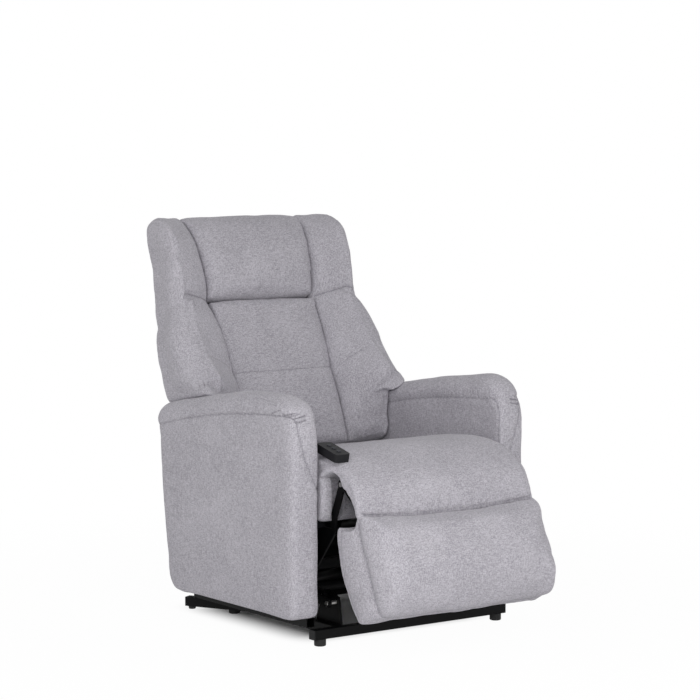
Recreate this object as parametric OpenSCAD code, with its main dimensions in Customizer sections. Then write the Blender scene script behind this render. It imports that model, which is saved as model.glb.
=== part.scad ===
// Lift recliner chair. X runs across the chair, Y from front to back, Z up, in millimetres.
// Heights are taken from the floor and depths from the front face of the arms; the whole chair is
// then shifted so that the origin is the middle of its footprint. Right and left are the sitter's.

/* [Overall] */
// Width over the two arm panels
chair_w = 760; // [700:10:840]
// Width of one arm
arm_w = 82; // [60:2:110]
// Height of the arm top at its front
arm_h = 665; // [620:5:700]
// Depth of the arm panel along its top seam
arm_depth = 660; // [620:5:700]
// Gap between the floor and the arm panels
floor_gap = 72; // [60:1:90]
// Height of the seat crown
seat_h = 492; // [470:2:520]

/* [Base] */
// Outer size of the square base tube
base_tube = 25; // [20:1:30]
// Wall of the base tube
base_wall = 2; // [1.5:0.5:3]
// Length of the front cross tube, without its caps
front_tube_len = 626; // [560:2:700]
// Distance between the outer faces of the two base rails
base_w = 480; // [460:2:500]
// Length of a base rail behind the front tube
base_rail_len = 505; // [460:5:540]
// Angle at which the outriggers splay outwards
outrigger_angle = 28; // [15:1:35]
// Length of an outrigger along its middle line
outrigger_len = 165; // [120:5:200]
// Diameter of a levelling foot
foot_d = 31; // [24:1:40]
// Height from the floor to the base tubes
foot_h = 18; // [12:1:24]
// Thickness of a plastic tube cap
cap_t = 3; // [2:0.5:5]

/* [Lift mechanism] */
// Distance from the base pivot to the chair pivot of a lift arm
lift_arm_len = 294; // [260:2:320]
// Width of the lift arm bar
lift_bar_w = 32; // [26:1:38]
// Width of the guide link bar
guide_bar_w = 24; // [20:1:28]
// Diameter of the pivot pins
pin_d = 12; // [8:1:14]
// Thickness of the mechanism side plates
plate_t = 6; // [4:1:8]
// Diameter of the torsion tube
torsion_d = 28; // [22:1:34]
// Outer diameter of an actuator tube
actuator_d = 38; // [30:1:44]
// Diameter of an actuator rod
rod_d = 20; // [14:1:24]
// Pin diameter of the actuators
actuator_pin_d = 10; // [8:1:12]

/* [Seat and leg rest] */
// Thickness of the padded front rail
front_rail_t = 25; // [18:1:32]
// Radius of the rolled front edge where the upper leg panel turns
roll_r = 55; // [48:1:58]
// Thickness of the leg panel padding
flap_t = 22; // [16:1:26]
// Half width of the upper leg panel
flap_half_w = 287; // [270:1:292]
// Half width of the leg rest pad
pad_half_w = 282; // [270:1:290]
// Width of one elastic strap
strap_w = 50; // [30:2:60]

/* [Back] */
// Recline of the back from upright, in degrees
recline = 28; // [20:1:32]
// Height of the back above its hinge, along the back
back_len = 785; // [720:5:820]
// Half width of the headrest
head_half_w = 295; // [280:1:297]
// Half width over the side wings above the arms
wing_half_w = 338; // [320:1:350]
// Half width of the middle cushions at the lumbar, the middle and the head
cushion_half_w = [166, 176, 195]; // [150:1:210]
// Size of the square back tube
post_w = 22; // [18:1:26]

/* [Hand control] */
// Length of the hand control
handset_len = 92; // [84:2:140]
// Width of the hand control
handset_w = 46; // [38:1:54]
// Height of the hand control
handset_h = 22; // [18:1:26]
// Diameter of one of its buttons
button_d = 12; // [9:0.5:14]

/* [Hidden] */

$fn = 48;
right = -1;
left = 1;
fit = 0.2;                      // clearance around a turning pin
gap = 0.4;                      // clearance between padded bodies that move
pad_grey = [0.70, 0.69, 0.71];
frame_black = [0.08, 0.08, 0.09];
steel_grey = [0.62, 0.63, 0.65];
timber = [0.76, 0.62, 0.44];

half_w = chair_w / 2;
arm_in = half_w - arm_w;        // inner face of an arm
// the widths of the base, the leg rest and the back are given for arms whose inner faces stand
// this far from the middle, and follow the arms from there
arms_given_at = 298;
wider = arm_in - arms_given_at;
rail_out = base_w / 2 + wider;  // outer face of a base rail
rail_in = rail_out - base_tube;
front_tube_end = front_tube_len / 2 + wider;
flap_side = flap_half_w + wider;
pad_side = pad_half_w + wider;
head_side = head_half_w + wider;
wing_side = wing_half_w + wider;
cushion_side = [for (w = cushion_half_w) w + wider];
tube_top = foot_h + base_tube;

// layers across the chair, counted from its middle plane
bracket_x = [rail_in - plate_t, rail_in];
lift_arm_x = [rail_in + 4, rail_in + 16];
guide_x = [rail_in + 20, rail_in + 28];
plate_x = [rail_in + 33, rail_in + 33 + plate_t];
leg_arm_x = [rail_in + 23, rail_in + 31];
leg_hinge_x = [rail_in + 13, rail_in + 21];
post_x = [arm_in - 11 - post_w, arm_in - 11];

// pivots in the side view, as depth and height
base_pivot = [90, 110];         // lift arm on the base
guide_base_pivot = [48.6, 99];  // guide link on the base
lift_arm_angle = atan2(50, 290);
chair_pivot = base_pivot + lift_arm_len * [cos(lift_arm_angle), sin(lift_arm_angle)];
guide_chair_pivot = chair_pivot - [140, 30];
lift_motor_pivot = [490, 66];
lift_rod_pivot = [170, 150];
roll_pivot = [-30, seat_h - 74];  // upper leg panel on the seat
pad_pivot = roll_pivot - [88, 66];  // leg rest pad on the upper leg panel
leg_motor_pivot = [320, seat_h - 252];
leg_rod_pivot = roll_pivot + [6, -103];
back_pivot = [540, 330];        // back on the side plates
back_motor_pivot = [328, seat_h - 222];
back_rod_pivot = [600, 250];
// where each rod's pin stands at rest in the wider hole of its lever, so that the play is
// shared over the whole travel
lift_rod_rest = lift_rod_pivot + [2.3, 3];
leg_rod_rest = leg_rod_pivot - [0.3, 0.3];
back_rod_rest = back_rod_pivot - [0.2, 0.6];

// outlines that set how far the chair reaches
leg_pad_outline = [for (p = [
    [-22, -12], [-31, -7], [-46, -1], [-60, -5], [-82, -43], [-110, -90], [-129, -147],
    [-134, -182], [-130, -224], [-118, -246], [-97, -258], [-78, -262], [-52, -256], [7, -202],
    [40, -136], [56, -90], [63, -44], [52, -28], [18, -12]
]) pad_pivot + p];
// the back's outlines are distances in front of its hinge and heights above it, seen upright
tier = [85, 305, 530];          // heights at which the three tiers start
post_lean = 0.085;
post_top = back_len - 40;
panel_t = 8;
strap_t = 2;
function post_front(u) = post_lean * u + post_w / 2;
function post_rear(u) = post_lean * u - post_w / 2;
function cushion_back(u) = post_front(u) + strap_t + fit;
head_outline = [
    [cushion_back(tier[2]), tier[2]], [99, tier[2]], [124, 575], [138, 640], [138, 700], [130, 750],
    [112, back_len], [84, back_len + 8], [54, back_len - 6],
    [post_rear(post_top) - panel_t, post_top + 8], [cushion_back(post_top + 8), post_top + 8]
];
front_reach = min([for (p = leg_pad_outline) p[0]]);
rear_reach = back_pivot[0] + max([for (p = head_outline) p[1] * sin(recline) - p[0] * cos(recline)]);
footprint_mid = (front_reach + rear_reach) / 2;

// play of the pivots at which a closed loop of links is opened
guide_play = 1.6;
lift_play = 4.8;
leg_play = 7.4;
back_play = 3.2;

// ---- helpers ----

function dir(a) = [cos(a), sin(a)];
function arc(c, r, from, to, n) = [for (i = [0:n]) c + r * dir(from + (to - from) * i / n)];
function strip(p, q, w) =
    let (d = (q - p) / norm(q - p), n = [-d[1], d[0]] * w / 2) [p - n, q - n, q + n, p + n];

module on_side(side) mirror([side < 0 ? 1 : 0, 0, 0]) children();

module place() translate([0, -footprint_mid, 0]) children();

// an outline of depths and heights, drawn out across the chair
module across(x0, x1, outline)
    translate([x0, 0, 0]) rotate([90, 0, 90]) linear_extrude(x1 - x0) polygon(outline);

module disc(p, x0, x1, d)
    translate([x0, p[0], p[1]]) rotate([0, 90, 0]) cylinder(h = x1 - x0, d = d);

// a flat bar with round ends between two pivots
module bar(p, q, x, w) {
    across(x[0], x[1], strip(p, q, w));
    disc(p, x[0], x[1], w);
    disc(q, x[0], x[1], w);
}

module headed_pin(p, x0, x1, d, head_d, head_t) {
    disc(p, x0, x1, d);
    disc(p, x0 - head_t, x0, head_d);
}

module tube_y(x, y0, y1, z0, w, t) {
    difference() {
        translate([x[0], y0, z0]) cube([x[1] - x[0], y1 - y0, w]);
        translate([x[0] + t, y0 - 1, z0 + t]) cube([x[1] - x[0] - 2 * t, y1 - y0 + 2, w - 2 * t]);
    }
}

module tube_x(x0, x1, y0, z0, w, t) {
    difference() {
        translate([x0, y0, z0]) cube([x1 - x0, w, w]);
        translate([x0 - 1, y0 + t, z0 + t]) cube([x1 - x0 + 2, w - 2 * t, w - 2 * t]);
    }
}

// two cheeks either side of the middle plane
cheek_in = 14;
cheek_t = 6;
module cheeks(outline_from, outline_to, w)
    for (s = [-1, 1])
        bar(outline_from, outline_to,
            s > 0 ? [cheek_in, cheek_in + cheek_t] : [-cheek_in - cheek_t, -cheek_in], w);

// ---- base ----

rail_end = base_tube + base_rail_len;
rear_tube_y = lift_motor_pivot[0] - base_tube / 2;
outrigger_start = [rail_out, 452];

module base_front_tube() color(frame_black) place()
    tube_x(-front_tube_end, front_tube_end, 0, foot_h, base_tube, base_wall);

module base_rail(side) color(frame_black) place() on_side(side)
    tube_y([rail_in, rail_out], base_tube, rail_end, foot_h, base_tube, base_wall);

module base_rear_tube() color(frame_black) place() {
    tube_x(-rail_in, rail_in, rear_tube_y, foot_h, base_tube, base_wall);
    // lugs that carry the lift motor
    difference() {
        for (s = [-1, 1])
            across(s > 0 ? cheek_in : -cheek_in - cheek_t, s > 0 ? cheek_in + cheek_t : -cheek_in, [
                [rear_tube_y, tube_top], [rear_tube_y + base_tube, tube_top],
                lift_motor_pivot + [10, 12], lift_motor_pivot + [-10, 12]
            ]);
        disc(lift_motor_pivot, -30, 30, actuator_pin_d + 2 * fit);
    }
}

module outrigger_frame(side) on_side(side)
    translate([outrigger_start[0], outrigger_start[1], foot_h]) rotate([0, 0, -outrigger_angle])
        children();

module outrigger(side) color(frame_black) place() difference() {
    outrigger_frame(side) tube_y([-base_tube / 2, base_tube / 2], -base_tube, outrigger_len, 0,
        base_tube, base_wall);
    on_side(side) translate([0, 0, foot_h - 1]) cube([rail_out, rail_end, base_tube + 2]);
}

module tube_caps() color(frame_black) place() for (side = [right, left]) {
    on_side(side) translate([front_tube_end, 0, foot_h]) cube([cap_t, base_tube, base_tube]);
    on_side(side) translate([rail_in, rail_end, foot_h]) cube([base_tube, cap_t, base_tube]);
    outrigger_frame(side) translate([-base_tube / 2, outrigger_len, 0])
        cube([base_tube, cap_t, base_tube]);
}

bumper_h = 8;
module outrigger_bumpers() color(frame_black) place() for (side = [right, left])
    outrigger_frame(side) translate([0, outrigger_len - base_tube / 2, -bumper_h])
        cylinder(h = bumper_h, d1 = base_tube - 7, d2 = base_tube - 3);

foot_inset = 23;                // from the tube's end to the middle of a front foot
module foot() rotate_extrude() polygon([
    [0, 0], [foot_d / 2 - 3, 0], [foot_d / 2 - 0.9, 0.9], [foot_d / 2, 3], [foot_d / 2, foot_h],
    [0, foot_h]
]);

module levelling_feet() color(frame_black) place() for (side = [right, left]) {
    translate([side * (front_tube_end - foot_inset), base_tube / 2, 0]) foot();
    translate([side * (rail_in + base_tube / 2), rail_end - base_tube, 0]) foot();
}

module base_bracket(side) color(frame_black) place() on_side(side) difference() {
    across(bracket_x[0], bracket_x[1], [
        [base_tube, foot_h], [135, foot_h], [135, tube_top], base_pivot + [18, 4],
        base_pivot + [8, 16], base_pivot + [-8, 18], guide_base_pivot + [-12, 14],
        guide_base_pivot + [-16, 0], [base_tube, tube_top]
    ]);
    disc(base_pivot, bracket_x[0] - 1, bracket_x[1] + 1, pin_d + fit);
    disc(guide_base_pivot, bracket_x[0] - 1, bracket_x[1] + 1, pin_d + fit);
}

pin_head_d = pin_d + 8;
pin_head_t = 4;
module base_pivot_pins() color(steel_grey) place() {
    for (side = [right, left]) on_side(side) {
        headed_pin(base_pivot, bracket_x[0], lift_arm_x[1] + 2, pin_d, pin_head_d, pin_head_t);
        headed_pin(guide_base_pivot, bracket_x[0], guide_x[1] + 3, pin_d, pin_head_d, pin_head_t);
    }
    disc(lift_motor_pivot, -cheek_in - cheek_t - 3, cheek_in + cheek_t + 3, actuator_pin_d);
}

// ---- lift arms and guide links ----

torsion_at = base_pivot + 71 * dir(lift_arm_angle);

module lift_arm(side) color(frame_black) place() on_side(side) difference() {
    bar(base_pivot, chair_pivot, lift_arm_x, lift_bar_w);
    disc(base_pivot, 0, half_w, pin_d + 2 * fit);
    disc(chair_pivot, 0, half_w, pin_d + 2 * fit);
}

module torsion_tube() color(frame_black) place() {
    difference() {
        union() {
            disc(torsion_at, -lift_arm_x[0], lift_arm_x[0], torsion_d);
            cheeks(torsion_at, lift_rod_pivot, torsion_d);
        }
        disc(lift_rod_pivot, -30, 30, actuator_pin_d + 2 * lift_play);
        disc(torsion_at, -half_w, half_w, torsion_d - 6);
    }
}

module guide_link(side) color(frame_black) place() on_side(side) difference() {
    bar(guide_base_pivot, guide_chair_pivot, guide_x, guide_bar_w);
    disc(guide_base_pivot, 0, half_w, pin_d + 2 * fit);
    disc(guide_chair_pivot, 0, half_w, pin_d + 2 * guide_play);
}

// ---- actuators: a housing that turns on a pin, and a rod that slides out of it ----

// the housing's own frame has its pin at the origin and its tube along +Y
module aim(from, to) translate([0, from[0], from[1]])
    rotate([atan2(to[1] - from[1], to[0] - from[0]), 0, 0]) children();

eye_w = 2 * cheek_in - 2;
motor_len = 96;
module actuator_housing(from, to, tube_len, motor_up) aim(from, to) difference() {
    union() {
        rotate([0, 90, 0]) cylinder(h = eye_w, d = 24, center = true);
        translate([-eye_w / 2, 0, -12]) cube([eye_w, 26, 24]);
        translate([0, 24, 0]) rotate([-90, 0, 0]) cylinder(h = tube_len - 24, d = actuator_d);
        // gearbox and motor beside the tube
        translate([-actuator_d / 2, 26, motor_up > 0 ? 0 : -52]) cube([actuator_d, 54, 52]);
        translate([0, 28, motor_up * 34]) rotate([-90, 0, 0]) cylinder(h = motor_len, d = 34);
    }
    rotate([0, 90, 0]) cylinder(h = 2 * half_w, d = actuator_pin_d + 2 * fit, center = true);
    translate([0, 50, 0]) rotate([-90, 0, 0]) cylinder(h = tube_len, d = rod_d + 2 * fit);
}

module actuator_rod(from, to, rod_len) aim(from, to) {
    stroke_end = norm(to - from);
    translate([0, stroke_end - rod_len, 0]) rotate([-90, 0, 0])
        cylinder(h = rod_len - 8, d = rod_d);
    translate([0, stroke_end, 0]) rotate([0, 90, 0]) cylinder(h = eye_w, d = 24, center = true);
    translate([0, stroke_end, 0]) rotate([0, 90, 0])
        cylinder(h = 2 * (cheek_in + cheek_t + 3), d = actuator_pin_d, center = true);
}

lift_tube_len = 230;
leg_tube_len = 240;
back_tube_len = 165;

module lift_actuator_housing() color(frame_black) place()
    actuator_housing(lift_motor_pivot, lift_rod_rest, lift_tube_len, -1);
module lift_actuator_rod() color(steel_grey) place()
    actuator_rod(lift_motor_pivot, lift_rod_rest, 200);
module leg_actuator_housing() color(frame_black) place()
    actuator_housing(leg_motor_pivot, leg_rod_rest, leg_tube_len, 1);
module leg_actuator_rod() color(steel_grey) place()
    actuator_rod(leg_motor_pivot, leg_rod_rest, 230);
module back_actuator_housing() color(frame_black) place()
    actuator_housing(back_motor_pivot, back_rod_rest, back_tube_len, 1);
module back_actuator_rod() color(steel_grey) place()
    actuator_rod(back_motor_pivot, back_rod_rest, 165);

// ---- chair frame ----

chair_rail_h = 25;
chair_rail_w = 25;
module chair_rail(side) color(frame_black) place() on_side(side)
    tube_y([arm_in, arm_in + chair_rail_w], base_tube, 560, floor_gap - chair_rail_h,
        chair_rail_h, base_wall);

cross_tube = 25;
front_cross = [100, 180];
rear_cross = [400, 180];
motor_cross_y = leg_motor_pivot[0];
motor_cross_z = leg_motor_pivot[1] - 46;
module chair_cross_tubes() color(frame_black) place() {
    for (at = [front_cross, rear_cross])
        for (side = [right, left]) on_side(side)
            tube_x(plate_x[1], arm_in, at[0], at[1], cross_tube, base_wall);
    for (at = [front_cross, rear_cross, [motor_cross_y, motor_cross_z]])
        tube_x(-plate_x[0], plate_x[0], at[0], at[1], cross_tube, base_wall);
    // lugs that carry the leg motor and the back motor
    difference() {
        for (s = [-1, 1])
            across(s > 0 ? cheek_in : -cheek_in - cheek_t, s > 0 ? cheek_in + cheek_t : -cheek_in, [
                [motor_cross_y, motor_cross_z + cross_tube],
                [motor_cross_y + cross_tube, motor_cross_z + cross_tube],
                back_motor_pivot + [14, 0], back_motor_pivot + [6, 11],
                back_motor_pivot + [-8, 11], leg_motor_pivot + [-14, 8], leg_motor_pivot + [-14, -8]
            ]);
        disc(leg_motor_pivot, -30, 30, actuator_pin_d + 2 * fit);
        disc(back_motor_pivot, -30, 30, actuator_pin_d + 2 * fit);
    }
}

plate_top = seat_h - 192;
module side_plate(side) color(frame_black) place() on_side(side) difference() {
    union() {
        across(plate_x[0], plate_x[1], [
            [guide_chair_pivot[0] - 24, guide_chair_pivot[1] - 14],
            [guide_chair_pivot[0] + 20, guide_chair_pivot[1] - 20],
            [chair_pivot[0] + 10, chair_pivot[1] - 22], [chair_pivot[0] + 26, chair_pivot[1] + 4],
            [back_pivot[0] + 10, back_pivot[1] - 17], [back_pivot[0] - 12, back_pivot[1] + 14],
            [450, plate_top], [0, plate_top], [0, plate_top - 14], [90, 176]
        ]);
        across(plate_x[0], plate_x[1], [
            [0, plate_top - 10], [12, plate_top - 4], roll_pivot + [42, -78],
            roll_pivot + [13, -6], roll_pivot + [-12, -8], roll_pivot + [22, -88]
        ]);
        disc(roll_pivot, plate_x[0], plate_x[1], 28);
        disc(back_pivot, plate_x[0], plate_x[1], 40);
    }
    for (p = [chair_pivot, guide_chair_pivot, roll_pivot, back_pivot])
        disc(p, 0, half_w, pin_d + fit);
}

module chair_pivot_pins() color(steel_grey) place() {
    for (side = [right, left]) on_side(side) {
        disc(chair_pivot, lift_arm_x[0] - 3, plate_x[1] + 3, pin_d);
        disc(guide_chair_pivot, guide_x[0] - 3, plate_x[1] + 3, pin_d);
        disc(roll_pivot, leg_arm_x[0] - 2, plate_x[1] + 3, pin_d);
        disc(back_pivot, plate_x[0] - 3, post_x[1] + 3, pin_d);
    }
    disc(leg_motor_pivot, -cheek_in - cheek_t - 3, cheek_in + cheek_t + 3, actuator_pin_d);
    disc(back_motor_pivot, -cheek_in - cheek_t - 3, cheek_in + cheek_t + 3, actuator_pin_d);
}

module control_box() color(frame_black) place()
    translate([right * plate_x[0], 190, 240]) cube([70, 110, 38]);

// ---- arms ----

// the seam between an arm panel and the pad on top of it, from front to rear
seam_drop = 70;
function seam(y) = arm_h - seam_drop - 0.00019 * y * y;
pad_seam = [for (y = [0, 66, 140, 214, 300, 383, 450, 516, 590, arm_depth]) [y, seam(y)]];
crest = [
    [arm_depth + 15, arm_h - 110], [arm_depth + 6, arm_h - 92], [590, arm_h - 75],
    [457, arm_h - 51], [322, arm_h - 29], [186, arm_h - 14], [76, arm_h - 4], [30, arm_h],
    [8, arm_h - 8], [-3, arm_h - 28]
];
panel_outline = concat(
    [for (p = pad_seam) p],
    [[arm_depth - 3, arm_h - 157], [arm_depth - 14, arm_h - 265], [arm_depth - 30, 253],
     [arm_depth - 54, floor_gap + 32], [arm_depth - 70, floor_gap + 12], [arm_depth - 95, floor_gap],
     [24, floor_gap], [6, floor_gap + 8], [0, floor_gap + 26]]
);
pad_outline = concat([for (p = pad_seam) p], crest);

// timber frame in the arm: two posts and two rails
timber_w = 45;
timber_x = [arm_in + 18, half_w - 18];
frame_y = [20, arm_depth - 120];
frame_top = seam(frame_y[1] - 20) - 16;
module timber_frame() {
    for (y = frame_y) translate([timber_x[0], y, floor_gap + 12])
        cube([timber_x[1] - timber_x[0], timber_w, frame_top - floor_gap - 12]);
    for (z = [floor_gap + 12, frame_top - timber_w])
        translate([timber_x[0], frame_y[0] + timber_w, z])
            cube([timber_x[1] - timber_x[0], frame_y[1] - frame_y[0] - timber_w, timber_w]);
}

module arm_timber_frames() color(timber) place()
    for (side = [right, left]) on_side(side) timber_frame();

module arm_panel(side) color(pad_grey) place() on_side(side) difference() {
    across(arm_in, half_w, panel_outline);
    timber_frame();
}

module arm_pad(side) color(pad_grey) place() on_side(side)
    across(arm_in, half_w, pad_outline);

// ---- seat ----

deck_z = plate_top + 45;
seat_half_w = arm_in - 0.5;
front_rail_y = [15, 15 + front_rail_t];
front_rail_z = [deck_z - 25, seat_h - 62];
seat_rail_z = [plate_top, deck_z - 2];
seat_rear = 500;

module seat_side_rails() color(timber) place() for (side = [right, left])
    on_side(side) across(plate_x[1], seat_half_w, [
        [front_rail_y[1], seat_rail_z[0]], [seat_rear, seat_rail_z[0]],
        [seat_rear, seat_rail_z[1]], [front_rail_y[1], seat_rail_z[1]]
    ]);

module seat_front_rail() color(pad_grey) place() across(-seat_half_w, seat_half_w, [
    [front_rail_y[0], front_rail_z[0]], [front_rail_y[1], front_rail_z[0]],
    [front_rail_y[1], front_rail_z[1]], [front_rail_y[0], front_rail_z[1]]
]);

strap_count = 5;
module seat_straps() color(frame_black) place() for (i = [0 : strap_count - 1])
    translate([-seat_half_w, 80 + i * 85, seat_rail_z[1]]) cube([2 * seat_half_w, strap_w, 2]);

seat_edge = [-14, seat_h - 4];
module seat_cushion() color(pad_grey) place() difference() {
    across(-seat_half_w, seat_half_w, [
        [-40, seat_h - 14], seat_edge, [12, seat_h], [40, seat_h], [126, seat_h - 5],
        [194, seat_h - 13], [262, seat_h - 28], [357, seat_h - 43], [426, seat_h - 54],
        [seat_rear, seat_h - 64], [seat_rear, deck_z], [front_rail_y[1], deck_z],
        [front_rail_y[1], front_rail_z[1]], [front_rail_y[0], front_rail_z[1]], [-40, front_rail_z[1]]
    ]);
    disc(roll_pivot, -half_w, half_w, 2 * (roll_r + gap));
}

// ---- leg rest ----

leg_bar_w = 24;
leg_line = (pad_pivot - roll_pivot) / norm(pad_pivot - roll_pivot);
leg_out = [leg_line[1], -leg_line[0]];
pad_knuckle_r = 30;
eye_d = 28;

module leg_arms() color(frame_black) place() {
    difference() {
        union() {
            for (side = [right, left]) on_side(side)
                bar(roll_pivot, pad_pivot, leg_arm_x, leg_bar_w);
            disc(roll_pivot, -leg_arm_x[0], leg_arm_x[0], eye_d);
            cheeks(roll_pivot, leg_rod_pivot, 34);
        }
        for (side = [right, left]) on_side(side) {
            disc(roll_pivot, leg_arm_x[0] - 4, half_w, pin_d + 2 * fit);
            disc(pad_pivot, leg_arm_x[0] - 1, half_w, pin_d - 2 + 2 * fit);
        }
        disc(leg_rod_pivot, -30, 30, actuator_pin_d + 2 * leg_play);
    }
}

board_t = 9;
function leg_point(along, out) = roll_pivot + along * leg_line + out * leg_out;
module flap_board() color(timber) place() across(-flap_side + 15, flap_side - 15, [
    leg_point(22, leg_bar_w / 2), leg_point(78, leg_bar_w / 2),
    leg_point(78, leg_bar_w / 2 + board_t), leg_point(22, leg_bar_w / 2 + board_t)
]);

roll_start = 70;
roll_turn = 145;
pad_turn = 160;
pad_end = 200;
flap_outer = [roll_pivot + [-82, 14], pad_pivot + [-22, 32]];
flap_inner = [leg_point(84, leg_bar_w / 2 + board_t), leg_point(30, leg_bar_w / 2 + board_t)];
module flap_cushion() color(pad_grey) place() across(-flap_side, flap_side, concat(
    arc(roll_pivot, roll_r, roll_start, roll_turn, 12), flap_outer,
    arc(pad_pivot, pad_knuckle_r, pad_turn, pad_end, 6),
    arc(pad_pivot, pad_knuckle_r - 14, pad_end, pad_turn, 6), flap_inner,
    arc(roll_pivot, roll_r - flap_t, roll_turn, roll_start, 12)
));

leg_board_outline = [for (p = [[22, -56], [8, -51], [-66, -212], [-52, -218]]) pad_pivot + p];
leg_hinge_outline = [
    for (p = [[-6, -9], [-32, -126], [-18, -133], [22, -56], [11, -5]]) pad_pivot + p
];
module leg_rest_board() color(timber) place()
    across(-leg_hinge_x[0], leg_hinge_x[0], leg_board_outline);

module leg_rest_hinges() color(frame_black) place()
    for (side = [right, left]) on_side(side) {
        difference() {
            union() {
                disc(pad_pivot, leg_hinge_x[0], leg_hinge_x[1], leg_bar_w);
                across(leg_hinge_x[0], leg_hinge_x[1], leg_hinge_outline);
            }
            disc(pad_pivot, 0, half_w, pin_d - 2 + fit);
        }
        disc(pad_pivot, leg_hinge_x[0] - 2, leg_arm_x[1] + 2, pin_d - 2);
    }

module leg_rest_cushion() color(pad_grey) place() difference() {
    across(-pad_side, pad_side, leg_pad_outline);
    disc(pad_pivot, -half_w, half_w, 2 * (pad_knuckle_r + gap));
    across(-leg_hinge_x[0], leg_hinge_x[0], leg_board_outline);
    for (side = [right, left]) on_side(side)
        across(leg_hinge_x[0], leg_hinge_x[1], leg_hinge_outline);
}

// ---- back: drawn upright about its hinge, with the front towards -Y ----

module back_place() place() translate([0, back_pivot[0], back_pivot[1]])
    rotate([-recline, 0, 0]) children();

// outlines of the back are written as distance in front of the hinge and height above it
module back_across(x0, x1, outline) across(x0, x1, [for (p = outline) [-p[0], p[1]]]);

module back_posts() color(frame_black) back_place() for (side = [right, left])
    on_side(side) difference() {
        union() {
            back_across(post_x[0], post_x[1], [
                [post_rear(0), 0], [post_front(0), 0],
                [post_front(post_top), post_top], [post_rear(post_top), post_top]
            ]);
            disc([0, 0], post_x[0], post_x[1], 34);
        }
        disc([0, 0], 0, half_w, pin_d + 2 * fit);
    }

back_rails_at = [60, 400, post_top - post_w];
// the lever's end in the upright frame of the back
lever_rel = back_rod_pivot - back_pivot;
lever_end = [lever_rel[0] * cos(recline) - lever_rel[1] * sin(recline),
    lever_rel[0] * sin(recline) + lever_rel[1] * cos(recline)];
module back_cross_rails() color(frame_black) back_place() {
    for (u = back_rails_at) translate([0, -post_lean * u, u]) rotate([atan(post_lean), 0, 0])
        tube_x(-post_x[0], post_x[0], fit - post_w / 2, 0, post_w - 2 * fit, base_wall);
    difference() {
        for (s = [-1, 1]) on_side(s) {
            across(cheek_in, cheek_in + cheek_t, [
                [-post_lean * 60 - post_w / 2, 60], lever_end + [-15, 0], lever_end + [15, 0],
                [-post_lean * 60 + post_w / 2, 60]
            ]);
            disc(lever_end, cheek_in, cheek_in + cheek_t, 32);
        }
        disc(lever_end, -30, 30, actuator_pin_d + 2 * back_play);
    }
}

module back_straps() color(frame_black) back_place() for (u = [130, 220, 310, 480, 560, 640])
    translate([0, -post_front(u), u]) rotate([atan(post_lean), 0, 0])
        translate([-post_x[1], -strap_t, 0]) cube([2 * post_x[1], strap_t, strap_w]);

module lumbar_cushion() color(pad_grey) back_place()
    back_across(-cushion_side[0], cushion_side[0], [
        [cushion_back(tier[0]), tier[0]], [75, tier[0]], [89, 138], [101, 200], [107, 260],
        [106, tier[1]], [cushion_back(tier[1]), tier[1]]
    ]);

module middle_cushion() color(pad_grey) back_place()
    back_across(-cushion_side[1], cushion_side[1], [
        [cushion_back(tier[1]), tier[1]], [106, tier[1]], [118, 360], [118, 440], [109, 500],
        [99, tier[2]], [cushion_back(tier[2]), tier[2]]
    ]);

module headrest_cushion() color(pad_grey) back_place()
    back_across(-cushion_side[2], cushion_side[2], head_outline);

// lower edge of a wing, which clears the arm pad through the whole recline
wing_foot = arm_h - 426;
wing_low = [for (p = [[195, 0], [153, 0], [114, 18.5], [75, 31], [35, 39], [-6, 46]])
    p + [0, wing_foot]];
function at_or_above(outline, rear) = [for (p = outline) if (p[0] >= rear) p];

function low_height(share) = tier[0] + share * (wing_foot - tier[0]);
module bolster_low() back_across(cushion_side[0], arm_in - 4, [
    [cushion_back(tier[0]), tier[0] + 5], [82, tier[0] + 5], [88, low_height(0.344)],
    [103, low_height(0.5)], [125, low_height(0.65)], [146, low_height(0.89)], wing_low[1],
    wing_low[2], wing_low[3], [cushion_back(wing_foot + 39), wing_foot + 39]
]);

module bolster_wing() hull() {
    back_across(cushion_side[1], cushion_side[1] + 1, [
        wing_low[1], [112, wing_foot + 61], [116, 400], [99, tier[2]], [58, tier[2]],
        [cushion_back(wing_foot + 39), wing_foot + 39], wing_low[3], wing_low[2]
    ]);
    back_across(wing_side - 8, wing_side, concat(
        at_or_above(wing_low, 0),
        [[0, wing_foot + 91], [31, 440], [62, 445], [150, 395], [168, wing_foot + 94],
         [186, wing_foot + 23]]
    ));
    back_across(head_side, head_side + 1,
        [[152, tier[2]], [18, tier[2]], [16, wing_foot + 61]]);
}

module bolster_head() hull() {
    back_across(cushion_side[2], cushion_side[2] + 1, [
        [104, tier[2]], [134, 600], [142, 690], [128, 750], [108, back_len],
        [60, back_len], [56, tier[2]]
    ]);
    back_across(head_side - 1, head_side, [
        [152, tier[2]], [163, 575], [173, 634], [175, 681], [168, 725], [146, 757],
        [118, 773], [90, 781], [60, 760], [18, tier[2]]
    ]);
}

module back_bolster(side) color(pad_grey) back_place() on_side(side) difference() {
    union() {
        bolster_low();
        bolster_wing();
        bolster_head();
    }
    // room for the posts, straps and rear panel
    back_across(0, post_x[1] + fit, [
        [cushion_back(0), 0], [cushion_back(post_top + 8), post_top + 8], [-200, post_top + 8],
        [-200, 0]
    ]);
}

panel_foot = 40;
module back_rear_panel() color(pad_grey) back_place() difference() {
    back_across(-post_x[1], post_x[1], [
        [post_rear(panel_foot), panel_foot], [post_rear(post_top + 8), post_top + 8],
        [post_rear(post_top) - panel_t, post_top + 8], [post_rear(300) - panel_t - 6, 300],
        [post_rear(panel_foot) - panel_t, panel_foot - 4]
    ]);
    // notch for the lever that the back actuator pushes
    translate([-cheek_in - cheek_t - 4, -50, 0])
        cube([2 * (cheek_in + cheek_t + 4), 100, back_rails_at[0] + post_w]);
}

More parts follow.
